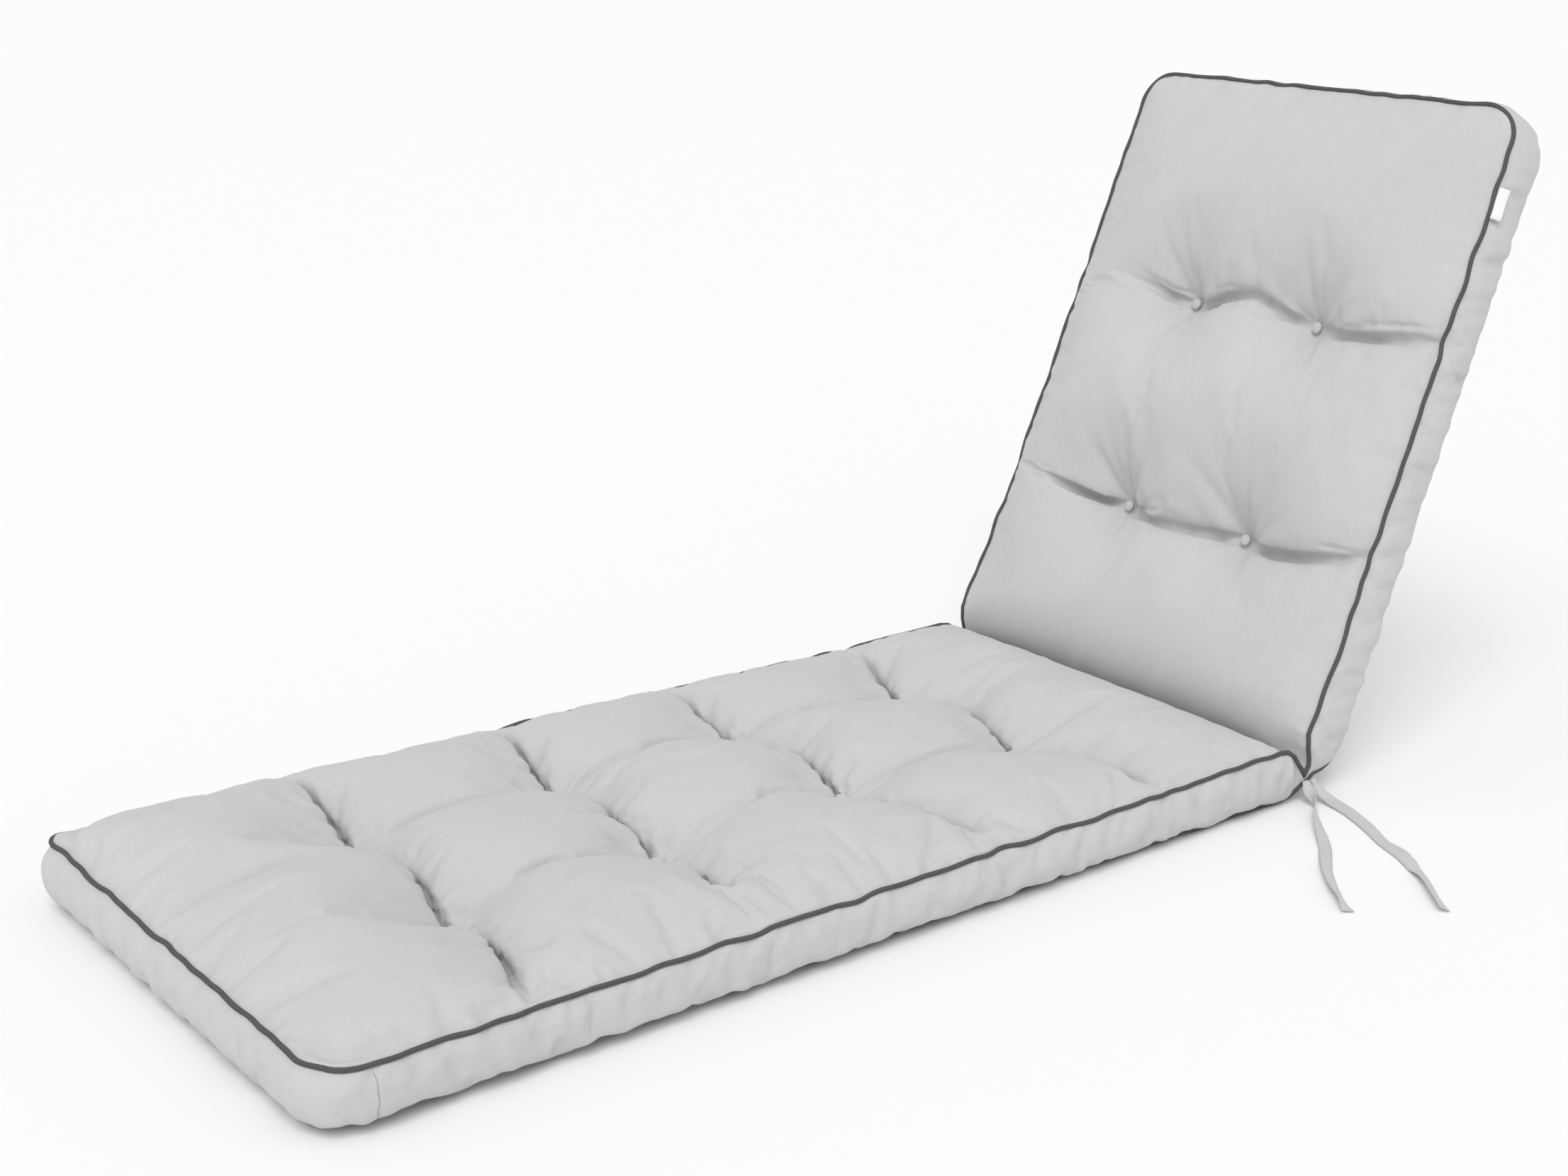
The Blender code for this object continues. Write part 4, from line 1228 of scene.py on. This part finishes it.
def weave_group() -> bpy.types.ShaderNodeTree:
    """Plain weave: threads that pass over and under each other."""
    group = new_group("Plain weave", {"Thread pitch": 0.0008}, ["Height"])
    make = NodeWriter(group)
    given = make.node("NodeGroupInput").outputs
    parts = make.node("ShaderNodeSeparateXYZ", {0: given["Place"]}).outputs
    rate = make.math("DIVIDE", pi, given["Thread pitch"])
    warp = make.math("SINE", make.math("MULTIPLY", parts["X"], rate))
    weft = make.math("SINE", make.math("MULTIPLY", parts["Y"], rate))
    over = make.math("MULTIPLY", warp, weft)
    ribs = make.math("ABSOLUTE", weft)
    height = make.math("MULTIPLY_ADD", over, 0.5, make.math("MULTIPLY", ribs, 0.35))
    out = make.node("NodeGroupOutput")
    group.links.new(height, out.inputs["Height"])
    return group


def mottle_group() -> bpy.types.ShaderNodeTree:
    """Soft clouds of tone, as handled cloth has."""
    group = new_group("Soft mottle", {"Cloud size": 0.08}, ["Tone"])
    make = NodeWriter(group)
    given = make.node("NodeGroupInput").outputs
    rate = make.math("DIVIDE", 1.0, given["Cloud size"])
    noise = make.node("ShaderNodeTexNoise", {"Vector": given["Place"], "Scale": rate, "Detail": 4.0})
    out = make.node("NodeGroupOutput")
    group.links.new(noise.outputs[0], out.inputs["Tone"])
    return group


class Effects:
    """The shader groups, built once and shared by the materials."""

    def __init__(self) -> None:
        """Build every group."""
        self.slub = slub_group()
        self.weave = weave_group()
        self.mottle = mottle_group()


class Pattern(Enum):
    """Where a material reads its place from."""

    CLOTH_MAP = "cloth"
    OBJECT = "object"


MIX_A, MIX_B, MIX_RESULT = 6, 7, 2  # the colour sockets of the mixing node
Colour = tuple[float, float, float]


@dataclass(frozen=True)
class Finish:
    """What every finish shares: a name for its material, and the shader groups."""

    name: str
    effects: Effects

    def start(self) -> tuple[bpy.types.Material, NodeWriter, bpy.types.Node]:
        """Make a material and return it with a writer for its nodes and its shader."""
        material = bpy.data.materials.new(self.name)
        material.use_nodes = True
        tree = material.node_tree
        return material, NodeWriter(tree), tree.nodes["Principled BSDF"]

    @staticmethod
    def place(make: NodeWriter, pattern: Pattern) -> bpy.types.NodeSocket:
        """Return the socket that gives each point's place."""
        if pattern is Pattern.CLOTH_MAP:
            return make.node("ShaderNodeUVMap", uv_map="cloth").outputs[0]
        return make.node("ShaderNodeTexCoord").outputs["Object"]

    @staticmethod
    def two_tones(
        make: NodeWriter, shader: bpy.types.Node, share: bpy.types.NodeSocket, first: Colour, second: Colour
    ) -> None:
        """Mix two colours into the shader's base colour."""
        mixed = make.node("ShaderNodeMix", {"Factor": share}, data_type="RGBA")
        mixed.inputs[MIX_A].default_value = (*first, 1.0)
        mixed.inputs[MIX_B].default_value = (*second, 1.0)
        make.tree.links.new(mixed.outputs[MIX_RESULT], shader.inputs["Base Color"])

    @staticmethod
    def bump(
        make: NodeWriter, shader: bpy.types.Node, height: bpy.types.NodeSocket, strength: float, depth: float
    ) -> None:
        """Raise the surface by a height."""
        bump = make.node("ShaderNodeBump", {"Strength": strength, "Distance": depth, "Height": height})
        make.tree.links.new(bump.outputs[0], shader.inputs["Normal"])


@dataclass(frozen=True)
class ClothFinish(Finish):
    """Light grey melange cloth."""

    colour: Colour = (0.582, 0.579, 0.582)
    dark_colour: Colour = (0.46, 0.455, 0.46)
    slub: float = 0.30
    roughness: float = 0.92
    weave_depth: float = 0.00012
    pitch: float = 0.0008
    streak_length: float = 0.030
    thread_width: float = 0.0011
    cloud_size: float = 0.09
    dark_share: float = 0.35
    slub_share: float = -0.30
    sheen: float = 0.15

    def material(self) -> bpy.types.Material:
        """Make the material."""
        material, make, shader = self.start()
        place = self.place(make, Pattern.CLOTH_MAP)
        sizes = {"Place": place, "Streak length": self.streak_length, "Thread width": self.thread_width}
        yarn = make.group(self.effects.slub, sizes)
        weave = make.group(self.effects.weave, {"Place": place, "Thread pitch": self.pitch})
        clouds = make.group(self.effects.mottle, {"Place": place, "Cloud size": self.cloud_size})
        streaks = make.math("SUBTRACT", yarn["Tone"], 0.5)
        cloudy = make.math("SUBTRACT", clouds["Tone"], 0.5)
        share = make.math("MULTIPLY_ADD", streaks, self.slub * 3.0, self.dark_share)
        share = make.math("MULTIPLY_ADD", cloudy, self.slub * 1.1, share)
        share = make.math("MULTIPLY_ADD", yarn["Slubs"], self.slub_share, share)
        self.two_tones(make, shader, share, self.colour, self.dark_colour)
        height = make.math("MULTIPLY_ADD", yarn["Tone"], 0.6, weave["Height"])
        self.bump(make, shader, height, 0.5, self.weave_depth)
        shader.inputs["Roughness"].default_value = self.roughness
        shader.inputs["Sheen Weight"].default_value = self.sheen
        shader.inputs["Sheen Roughness"].default_value = 0.6
        shader.inputs["Specular IOR Level"].default_value = 0.25
        return material


@dataclass(frozen=True)
class CordFinish(Finish):
    """Dark grey cloth wound over a cord."""

    colour: Colour = (0.085, 0.087, 0.092)
    roughness: float = 0.85
    weave_depth: float = 0.0002
    pitch: float = 0.0009
    cloud_size: float = 0.012

    def material(self) -> bpy.types.Material:
        """Make the material."""
        material, make, shader = self.start()
        place = self.place(make, Pattern.CLOTH_MAP)
        weave = make.group(self.effects.weave, {"Place": place, "Thread pitch": self.pitch})
        clouds = make.group(self.effects.mottle, {"Place": place, "Cloud size": self.cloud_size})
        dark, light = (tuple(c * scale for c in self.colour) for scale in (0.75, 1.30))
        self.two_tones(make, shader, clouds["Tone"], dark, light)
        self.bump(make, shader, weave["Height"], 0.6, self.weave_depth)
        shader.inputs["Roughness"].default_value = self.roughness
        shader.inputs["Specular IOR Level"].default_value = 0.3
        return material


@dataclass(frozen=True)
class ThreadFinish(Finish):
    """Twisted sewing thread."""

    colour: Colour
    roughness: float = 0.6
    cloud_size: float = 0.002

    def material(self) -> bpy.types.Material:
        """Make the material."""
        material, make, shader = self.start()
        place = self.place(make, Pattern.OBJECT)
        clouds = make.group(self.effects.mottle, {"Place": place, "Cloud size": self.cloud_size})
        dark, light = (tuple(c * scale for c in self.colour) for scale in (0.8, 1.15))
        self.two_tones(make, shader, clouds["Tone"], dark, light)
        shader.inputs["Roughness"].default_value = self.roughness
        return material


# Piping


@dataclass
class Piping:
    """The covered cords sewn into the two seams."""

    form: CushionForm
    finish: CordFinish
    radius: float = 0.0025
    sides: int = 10
    step: float = 0.006

    def build(self) -> list[bpy.types.Object]:
        """Make both cords."""
        seams = SeamLines(CoverGrid(self.form, self.step, 2))
        material = self.finish.material()
        made = []
        for name, line in (("piping_top", seams.top), ("piping_bottom", seams.bottom)):
            obj = self.ring(name + "_cord", line, seams)
            obj.data.materials.append(material)
            shade_smooth(obj)
            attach(obj, "root")
            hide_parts(name)
            made.append(obj)
            log.info("%s: %d faces", obj.name, len(obj.data.polygons))
        return made

    def ring(self, name: str, line: np.ndarray, seams: SeamLines) -> bpy.types.Object:
        """Make one closed cord along a line."""
        ahead, behind = turn(line)
        tangent = unit(ahead + behind)
        side = unit(seams.outward - tangent * (seams.outward * tangent).sum(1)[:, None])
        other = np.cross(tangent, side)
        bend = unit(ahead - behind + 1e-9)
        stretch = np.clip(1 / np.maximum((tangent * ahead).sum(1), 0.6), 1, 1.6) - 1
        travel = travel_round(line)
        plump = 1 + 0.05 * ripple(travel, 5, (0.02, 0.09))
        angles = np.arange(self.sides) * 2 * pi / self.sides
        ring = side[:, None] * np.cos(angles)[:, None] + other[:, None] * np.sin(angles)[:, None]
        ring = ring * (self.radius * plump)[:, None, None]
        ring = ring + bend[:, None] * (ring * bend[:, None]).sum(2)[..., None] * stretch[:, None, None]
        points = (line[:, None] + ring).reshape(-1, 3)
        obj = mesh_object(name, points, tube_faces(len(line), self.sides, closed=True))
        uv = np.stack([np.repeat(travel, self.sides), np.tile(angles * self.radius, len(line))], 1)
        cloth_map(obj, uv)
        return obj


# Stitches


class StitchRow:
    """Stitches along a line, made by Geometry Nodes and turned into a plain mesh."""

    tree: bpy.types.NodeTree | None = None
    seed: int = 7

    @classmethod
    def group(cls) -> bpy.types.NodeTree:
        """Return the node tree, built once, with its named inputs."""
        if cls.tree:
            return cls.tree
        tree = bpy.data.node_groups.new("Stitch row", "GeometryNodeTree")
        tree.interface.new_socket(name="Line", in_out="INPUT", socket_type="NodeSocketGeometry")
        for label, value in (("Pitch", 0.003), ("Stitch length", 0.002), ("Thread radius", 0.0002)):
            socket = tree.interface.new_socket(name=label, in_out="INPUT", socket_type="NodeSocketFloat")
            socket.default_value = value
        seed = tree.interface.new_socket(name="Seed", in_out="INPUT", socket_type="NodeSocketInt")
        seed.default_value = cls.seed
        tree.interface.new_socket(name="Thread", in_out="INPUT", socket_type="NodeSocketMaterial")
        tree.interface.new_socket(name="Stitches", in_out="OUTPUT", socket_type="NodeSocketGeometry")
        make = NodeWriter(tree)
        given = make.node("NodeGroupInput").outputs
        line = make.node("GeometryNodeMeshToCurve", {"Mesh": given["Line"]}).outputs[0]
        spaced = {"Curve": line, "Length": given["Pitch"]}
        spaced = make.node("GeometryNodeResampleCurve", spaced, mode="LENGTH").outputs[0]
        tangent = make.node("GeometryNodeInputTangent").outputs[0]
        aligned = make.node("FunctionNodeAlignRotationToVector", {"Vector": tangent}, axis="Z").outputs[0]
        thread = make.node(
            "GeometryNodeMeshCylinder",
            {
                "Vertices": 6,
                "Side Segments": 3,
                "Radius": given["Thread radius"],
                "Depth": given["Stitch length"],
            },
        ).outputs[0]
        spread = make.node(
            "FunctionNodeRandomValue", {2: 0.88, 3: 1.10, "Seed": given["Seed"]}, data_type="FLOAT"
        ).outputs[1]
        points = make.node(
            "GeometryNodeInstanceOnPoints",
            {"Points": spaced, "Instance": thread, "Rotation": aligned, "Scale": spread},
        ).outputs[0]
        real = make.node("GeometryNodeRealizeInstances", {"Geometry": points}).outputs[0]
        dressed = {"Geometry": real, "Material": given["Thread"]}
        dressed = make.node("GeometryNodeSetMaterial", dressed).outputs[0]
        out = make.node("NodeGroupOutput")
        tree.links.new(dressed, out.inputs[0])
        cls.tree = tree
        return tree

    @classmethod
    def build(
        cls,
        name: str,
        line: np.ndarray,
        pitch: float,
        length: float,
        radius: float,
        thread: bpy.types.Material,
    ) -> bpy.types.Object:
        """Make a row of stitches along a line of points.

        Args:
            name: the piece's name.
            line: the points that the row follows.
            pitch: the distance from stitch to stitch.
            length: the length of one stitch.
            radius: the thread's radius.
            thread: the thread's material.

        Returns:
            The stitches as one mesh object at the origin.
        """
        mesh = bpy.data.meshes.new(name + "_line")
        mesh.from_pydata([tuple(p) for p in line.tolist()], [(k, k + 1) for k in range(len(line) - 1)], [])
        guide = bpy.data.objects.new(name + "_line", mesh)
        bpy.context.scene.collection.objects.link(guide)
        tree = cls.group()
        modifier = guide.modifiers.new("Stitches", "NODES")
        modifier.node_group = tree
        values = {
            "Pitch": pitch,
            "Stitch length": length,
            "Thread radius": radius,
            "Seed": cls.seed,
            "Thread": thread,
        }
        for item in tree.interface.items_tree:
            if item.in_out == "INPUT" and item.name in values:
                modifier[item.identifier] = values[item.name]
        graph = bpy.context.evaluated_depsgraph_get()
        made = bpy.data.meshes.new_from_object(guide.evaluated_get(graph))
        made.name = name
        obj = bpy.data.objects.new(name, made)
        bpy.context.scene.collection.objects.link(obj)
        guide.modifiers.remove(modifier)
        bpy.data.objects.remove(guide, do_unlink=True)
        return obj


# Ties

# Each tie's middle line: (x from the fold, y, lowest height of the strip, lean of the strip in degrees).
LONG_TIE: Rows = (
    (0.0065, -0.2905, 0.0235, 10),
    (0.0085, -0.2970, 0.0120, 10),
    (0.0090, -0.3130, 0.0035, 15),
    (0.0040, -0.3430, 0.0004, 18),
    (-0.0130, -0.3860, 0.0003, 12),
    (-0.0300, -0.4190, 0.0003, 5),
    (-0.0480, -0.4620, 0.0003, 25),
    (-0.0730, -0.5060, 0.0003, -26),
    (-0.1040, -0.5460, 0.0003, -38),
    (-0.1180, -0.5670, 0.0003, -28),
)
SHORT_TIE: Rows = (
    (-0.0065, -0.2905, 0.0235, -168),
    (-0.0078, -0.2970, 0.0125, -155),
    (-0.0140, -0.3100, 0.0035, -108),
    (-0.0300, -0.3270, 0.0004, -72),
    (-0.0500, -0.3470, 0.0003, -42),
    (-0.0900, -0.3900, 0.0003, -2),
    (-0.1320, -0.4270, 0.0003, -22),
    (-0.1630, -0.4610, 0.0003, -30),
    (-0.1860, -0.4920, 0.0003, -42),
    (-0.1960, -0.5080, 0.0003, -12),
)


def smooth(points: np.ndarray, steps: int) -> np.ndarray:
    """Return a Catmull-Rom curve through the points, with a number of steps between them."""
    points = np.asarray(points, float)
    padded = np.concatenate([[2 * points[0] - points[1]], points, [2 * points[-1] - points[-2]]])
    t = (np.arange(steps) / steps)[:, None]
    out = []
    for p0, p1, p2, p3 in zip(padded, padded[1:], padded[2:], padded[3:]):
        bend = (2 * p0 - 5 * p1 + 4 * p2 - p3) * t**2 + (3 * p1 - p0 - 3 * p2 + p3) * t**3
        out.append(0.5 * (2 * p1 + (p2 - p0) * t + bend))
    return np.concatenate([*out, points[-1:]])


@dataclass
class Tie:
    """A folded and stitched cloth strip that comes out of the seam and lies on the floor."""

    name: str
    rows: Rows
    form: CushionForm
    cloth: bpy.types.Material
    thread: bpy.types.Material
    width: float = 0.014
    thickness: float = 0.0016
    floor_gap: float = 0.0003
    steps: int = 16
    hem: float = 0.0022  # from the open edge to the stitches
    hem_side: float = 1.0  # the open edge is on the right at 1 and on the left at -1

    def build(self) -> None:
        steps = smooth([(x, y, low) for x, y, low, _ in self.rows], self.steps)
        leans = smooth([(lean, 0, 0) for *_, lean in self.rows], self.steps)[:, 0]
        share = np.linspace(0, 1, len(steps))
        width = self.width * (0.55 + 0.45 * np.minimum(1.0, share / 0.12))
        lean = np.radians(leans)
        rise = np.abs(np.sin(lean)) * width / 2 + np.abs(np.cos(lean)) * self.thickness / 2
        middle = np.stack([steps[:, 0], steps[:, 1], np.maximum(steps[:, 2], self.floor_gap) + rise], 1)
        middle += self.form.fold
        tangent = unit(np.gradient(middle, axis=0))
        flat = unit(np.cross(np.array([0.0, 0.0, 1.0]), tangent))
        upright = np.cross(tangent, flat)
        across = flat * np.cos(lean)[:, None] + upright * np.sin(lean)[:, None]
        face = np.cross(tangent, across)
        strip, line = self.strip(middle, across, face, width)
        stitches = StitchRow.build(f"{self.name}_stitches", line, 0.0030, 0.0022, 0.00016, self.thread)
        for piece in (strip, stitches):
            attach(piece, "root")
        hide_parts(self.name)

    def strip(
        self, middle: np.ndarray, across: np.ndarray, face: np.ndarray, width: np.ndarray
    ) -> tuple[bpy.types.Object, np.ndarray]:
        """Make the strip: two layers, round at the fold, with the hem stitched flat along the open edge.

        Returns:
            The strip, and the line of its stitches.
        """
        section = []
        for k in range(11):
            place = -1 + 2 * k / 10
            swell = 0.5 * (1 - abs(place) ** 6) ** 0.5
            pressed = 1 - 0.45 * exp(-(((place * self.hem_side - 0.70) / 0.10) ** 2))
            section.append((place, swell * pressed))
        ring = section + [(place, -high) for place, high in reversed(section[1:-1])]
        count = len(middle)
        travel = np.concatenate([[0.0], np.cumsum(np.linalg.norm(np.diff(middle, axis=0), axis=1))])
        wave = ripple(travel, len(self.name), (0.010, 0.040), 10)
        points, places = [], []
        for place, high in ring:
            uneven = (width / 2) * (1 + 0.03 * wave * np.sign(place) * (abs(place) > 0.5))
            thick = self.thickness * high
            points.append(middle + across * (place * uneven)[:, None] + face * thick)
            places.append(np.stack([travel, np.full(count, place * self.width / 2)], 1))
        points = np.stack(points, 1)
        q = len(ring)
        faces = tube_faces(count, q)
        faces.append(tuple(reversed(range(q))))
        faces.append(tuple((count - 1) * q + a for a in range(q)))
        obj = mesh_object(f"{self.name}_strip", points.reshape(-1, 3), faces)
        face_outwards(obj)
        cloth_map(obj, np.stack(places, 1).reshape(-1, 2))
        shade_smooth(obj)
        obj.data.materials.append(self.cloth)
        offset = (width / 2 - self.hem)[:, None] * self.hem_side
        lift = self.thickness * 0.5 * 0.62
        line = middle + across * offset + face * lift
        return obj, line[2:-1]


def face_outwards(obj: bpy.types.Object) -> None:
    """Turn a closed mesh's faces to point outwards."""
    mesh = obj.data
    points = np.array([v.co[:] for v in mesh.vertices])
    total = 0.0
    for polygon in mesh.polygons:
        first, *rest = polygon.vertices
        for b, c in zip(rest, rest[1:]):
            total += float(np.dot(points[first], np.cross(points[b], points[c])))
    if total < 0:
        mesh.flip_normals()


# Buttons and tab

# A button's section from below: (height in button heights, width in radii).
BUTTON_SECTION: Rows = (
    (-0.60, 0.50),
    (0.10, 0.62),
    (0.30, 0.90),
    (0.42, 1.00),
    (0.58, 0.99),
    (0.76, 0.90),
    (0.89, 0.72),
    (0.96, 0.50),
    (1.00, 0.25),
)


@dataclass
class Buttons:
    """The covered discs on the tufts' floors."""

    form: CushionForm
    cloth: bpy.types.Material
    radius: float = 0.0068
    height: float = 0.0046
    lift: float = 0.0030
    sides: int = 40

    def build(self) -> None:
        """Make every button in place of its solid."""
        for number, (row, floor, column) in enumerate(self.form.rows(), 1):
            for side, centre in zip(("near", "far"), self.form.centres(column)):
                self.button(f"button_{number}_{side}", row, centre, floor, 7 * number + len(side))

    def button(self, name: str, s: float, y: float, floor: float, seed: int) -> None:
        """Make one domed disc whose cover is gathered at its rim."""
        along, out = self.form.directions(np.array(s))
        across = np.array([0.0, 1.0, 0.0])
        here = np.array(s)
        height = floor + self.form.base_height(here, y) + self.form.far_up(here, y)
        base = self.form.place(here, y, height) + out * self.lift
        angle = np.arange(self.sides) * 2 * pi / self.sides
        gather = ripple(angle / (2 * pi) * 0.04 + seed, seed, (0.0018, 0.0060), 10)
        tilt = np.random.default_rng(seed).uniform(-0.10, 0.10, 2)
        points, places = [], []
        for high, wide in BUTTON_SECTION:
            rough = 1 + 0.05 * gather * wide**3
            x, z = np.cos(angle) * wide * rough, np.sin(angle) * wide * rough
            up = high * self.height + (x * tilt[0] + z * tilt[1]) * self.radius
            flat = (along * x[:, None] + across * z[:, None]) * self.radius
            points.append(base + flat + out * up[:, None])
            places.append(np.stack([x, z], 1) * self.radius + seed * 0.05)
        points.append(base[None] + out * self.height * 1.01)
        places.append(np.full((1, 2), seed * 0.05))
        q = self.sides
        rings = len(BUTTON_SECTION)
        last = (rings - 1) * q
        faces = [tuple(reversed(range(q)))] + tube_faces(rings, q)
        faces += [(last + a, last + (a + 1) % q, rings * q) for a in range(q)]
        obj = mesh_object(name + "_cover", np.concatenate(points), faces)
        face_outwards(obj)
        cloth_map(obj, np.concatenate(places))
        shade_smooth(obj)
        obj.data.materials.append(self.cloth)
        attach(obj, "root")
        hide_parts(name)


@dataclass
class LabelTab:
    """The small blank white tab, a folded woven ribbon sewn into the near seam of the back."""

    form: CushionForm
    ribbon: bpy.types.Material
    thread: bpy.types.Material
    length: float = 0.036
    thickness: float = 0.0010
    from_fold: float = 0.654
    start: tuple[float, float] = (0.0018, -0.0010)  # out of the side, and up from the upper seam
    end: tuple[float, float] = (0.0090, -0.0125)

    def build(self) -> None:
        """Make the tab and the stitches along its two short edges."""
        columns, rows = 13, 9
        near = -self.form.sizes.width / 2
        begin, finish = np.array(self.start), np.array(self.end)
        reach = unit(finish - begin)
        normal = np.array([-reach[1], reach[0]])
        points, places = [], []
        for layer in (-0.5, 0.5):
            for i in range(columns):
                s = self.from_fold + self.length * i / (columns - 1)
                for j in range(rows):
                    t = j / (rows - 1)
                    curl = 0.0008 * sin(pi * t) + 0.0006 * t * sin(2 * pi * i / (columns - 1) + 0.6)
                    thin = 1 - 0.5 * (t > 0.99 or t < 0.01 or i in (0, columns - 1))
                    raised = curl + 0.0005 + layer * self.thickness * thin
                    out, up = begin + (finish - begin) * t + normal * raised
                    points.append(self.form.place(np.array(s), near - out, table(SEAMS, s, 1) + up))
                    places.append((s, 0.015 * t))
        size = columns * rows
        faces = []
        for i in range(columns - 1):
            for j in range(rows - 1):
                a = i * rows + j
                faces.append((a, a + rows, a + rows + 1, a + 1))
                faces.append((size + a, size + a + 1, size + a + rows + 1, size + a + rows))
        rim = [i * rows for i in range(columns - 1)] + [(columns - 1) * rows + j for j in range(rows - 1)]
        rim += [i * rows + rows - 1 for i in range(columns - 1, 0, -1)] + list(range(rows - 1, 0, -1))
        for a, b in zip(rim, rim[1:] + rim[:1]):
            faces.append((b, a, size + a, size + b))
        obj = mesh_object("label_tab_ribbon", np.array(points), faces)
        face_outwards(obj)
        cloth_map(obj, np.array(places))
        shade_smooth(obj)
        obj.data.materials.append(self.ribbon)
        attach(obj, "root")
        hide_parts("label_tab")
        cloud = np.array(points).reshape(2, columns, rows, 3)
        for number, column in enumerate((1, columns - 2)):
            gap = unit(cloud[1, column, 4] - cloud[0, column, 4])
            outer = cloud[1, column] if gap[1] < 0 else cloud[0, column]
            lift = gap * (0.0001 if gap[1] < 0 else -0.0001)
            name = f"label_stitches_{number}"
            row = StitchRow.build(name, outer[1:] + lift, 0.0022, 0.0015, 0.00013, self.thread)
            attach(row, "root")
        log.info("label tab: %d faces", len(obj.data.polygons))


# Studio


@dataclass(frozen=True)
class PhotoCamera:
    """The camera of the photograph, placed from the fold."""

    eye: tuple[float, float, float] = (-1.9493, -1.8500, 1.0263)
    azimuth: float = -37.6355
    elevation: float = 17.7211
    lens: float = 53.327
    sensor: float = 36.0

    def build(self, form: CushionForm) -> None:
        """Make the camera and give it to the scene."""
        data = bpy.data.cameras.new("photo_camera")
        data.lens = self.lens
        data.sensor_width = self.sensor
        camera = bpy.data.objects.new("photo_camera", data)
        camera.location = Vector(self.eye) + Vector(form.fold)
        camera.rotation_euler = (radians(90 - self.elevation), 0.0, radians(self.azimuth))
        bpy.context.scene.collection.objects.link(camera)
        bpy.context.scene.camera = camera


@dataclass(frozen=True)
class Studio:
    """A pale floor and soft light."""

    reach: float = 60.0
    floor_colour: Colour = (0.90, 0.90, 0.90)
    sky: float = 0.72
    key: float = 1.5
    key_from: tuple[float, float, float] = (-0.45, -0.42, 0.79)
    softness: float = 38.0

    def build(self) -> None:
        """Make the floor, the world and the lamps."""
        corners = [(x * self.reach, y * self.reach, 0.0) for x, y in ((-1, -1), (1, -1), (1, 1), (-1, 1))]
        floor = mesh_object("floor", np.array(corners), [(0, 1, 2, 3)])
        material = bpy.data.materials.new("pale floor")
        material.use_nodes = True
        shader = material.node_tree.nodes["Principled BSDF"]
        shader.inputs["Base Color"].default_value = (*self.floor_colour, 1.0)
        shader.inputs["Roughness"].default_value = 0.95
        floor.data.materials.append(material)
        bpy.context.scene.view_settings.view_transform = "Standard"
        world = bpy.data.worlds.new("studio")
        bpy.context.scene.world = world
        world.use_nodes = True
        background = world.node_tree.nodes["Background"]
        background.inputs["Color"].default_value = (1.0, 1.0, 1.0, 1.0)
        background.inputs["Strength"].default_value = self.sky
        data = bpy.data.lights.new("key", "SUN")
        data.energy = self.key
        data.angle = radians(self.softness)
        lamp = bpy.data.objects.new("key", data)
        lamp.rotation_euler = Vector(self.key_from).to_track_quat("Z", "Y").to_euler()
        bpy.context.scene.collection.objects.link(lamp)


def main() -> None:
    """Build every piece in order."""
    logging.basicConfig(level=logging.INFO, format="%(name)s: %(message)s")
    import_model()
    form = CushionForm(CushionSizes(), TuftSizes(), PuffSizes())
    PhotoCamera().build(form)
    Studio().build()
    effects = Effects()
    cloth = ClothFinish("light grey cloth", effects)
    thread = ThreadFinish("grey thread", effects, (0.30, 0.30, 0.31)).material()
    Cover(form, cloth, thread).build()
    Piping(form, CordFinish("dark grey piping cloth", effects)).build()
    tie_cloth = ClothFinish("light grey tie cloth", effects, slub=0.22).material()
    Tie("tie_long", LONG_TIE, form, tie_cloth, thread, hem_side=-1.0).build()
    Tie("tie_short", SHORT_TIE, form, tie_cloth, thread).build()
    button_cloth = ClothFinish("light grey button cloth", effects, slub=0.22, weave_depth=0.00020).material()
    Buttons(form, button_cloth).build()
    white = ClothFinish(
        "white tab ribbon", effects, (0.86, 0.86, 0.86), (0.78, 0.78, 0.78), slub=0.10, pitch=0.0006
    ).material()
    LabelTab(form, white, ThreadFinish("white thread", effects, (0.75, 0.75, 0.75)).material()).build()


if __name__ == "__main__":
    main()
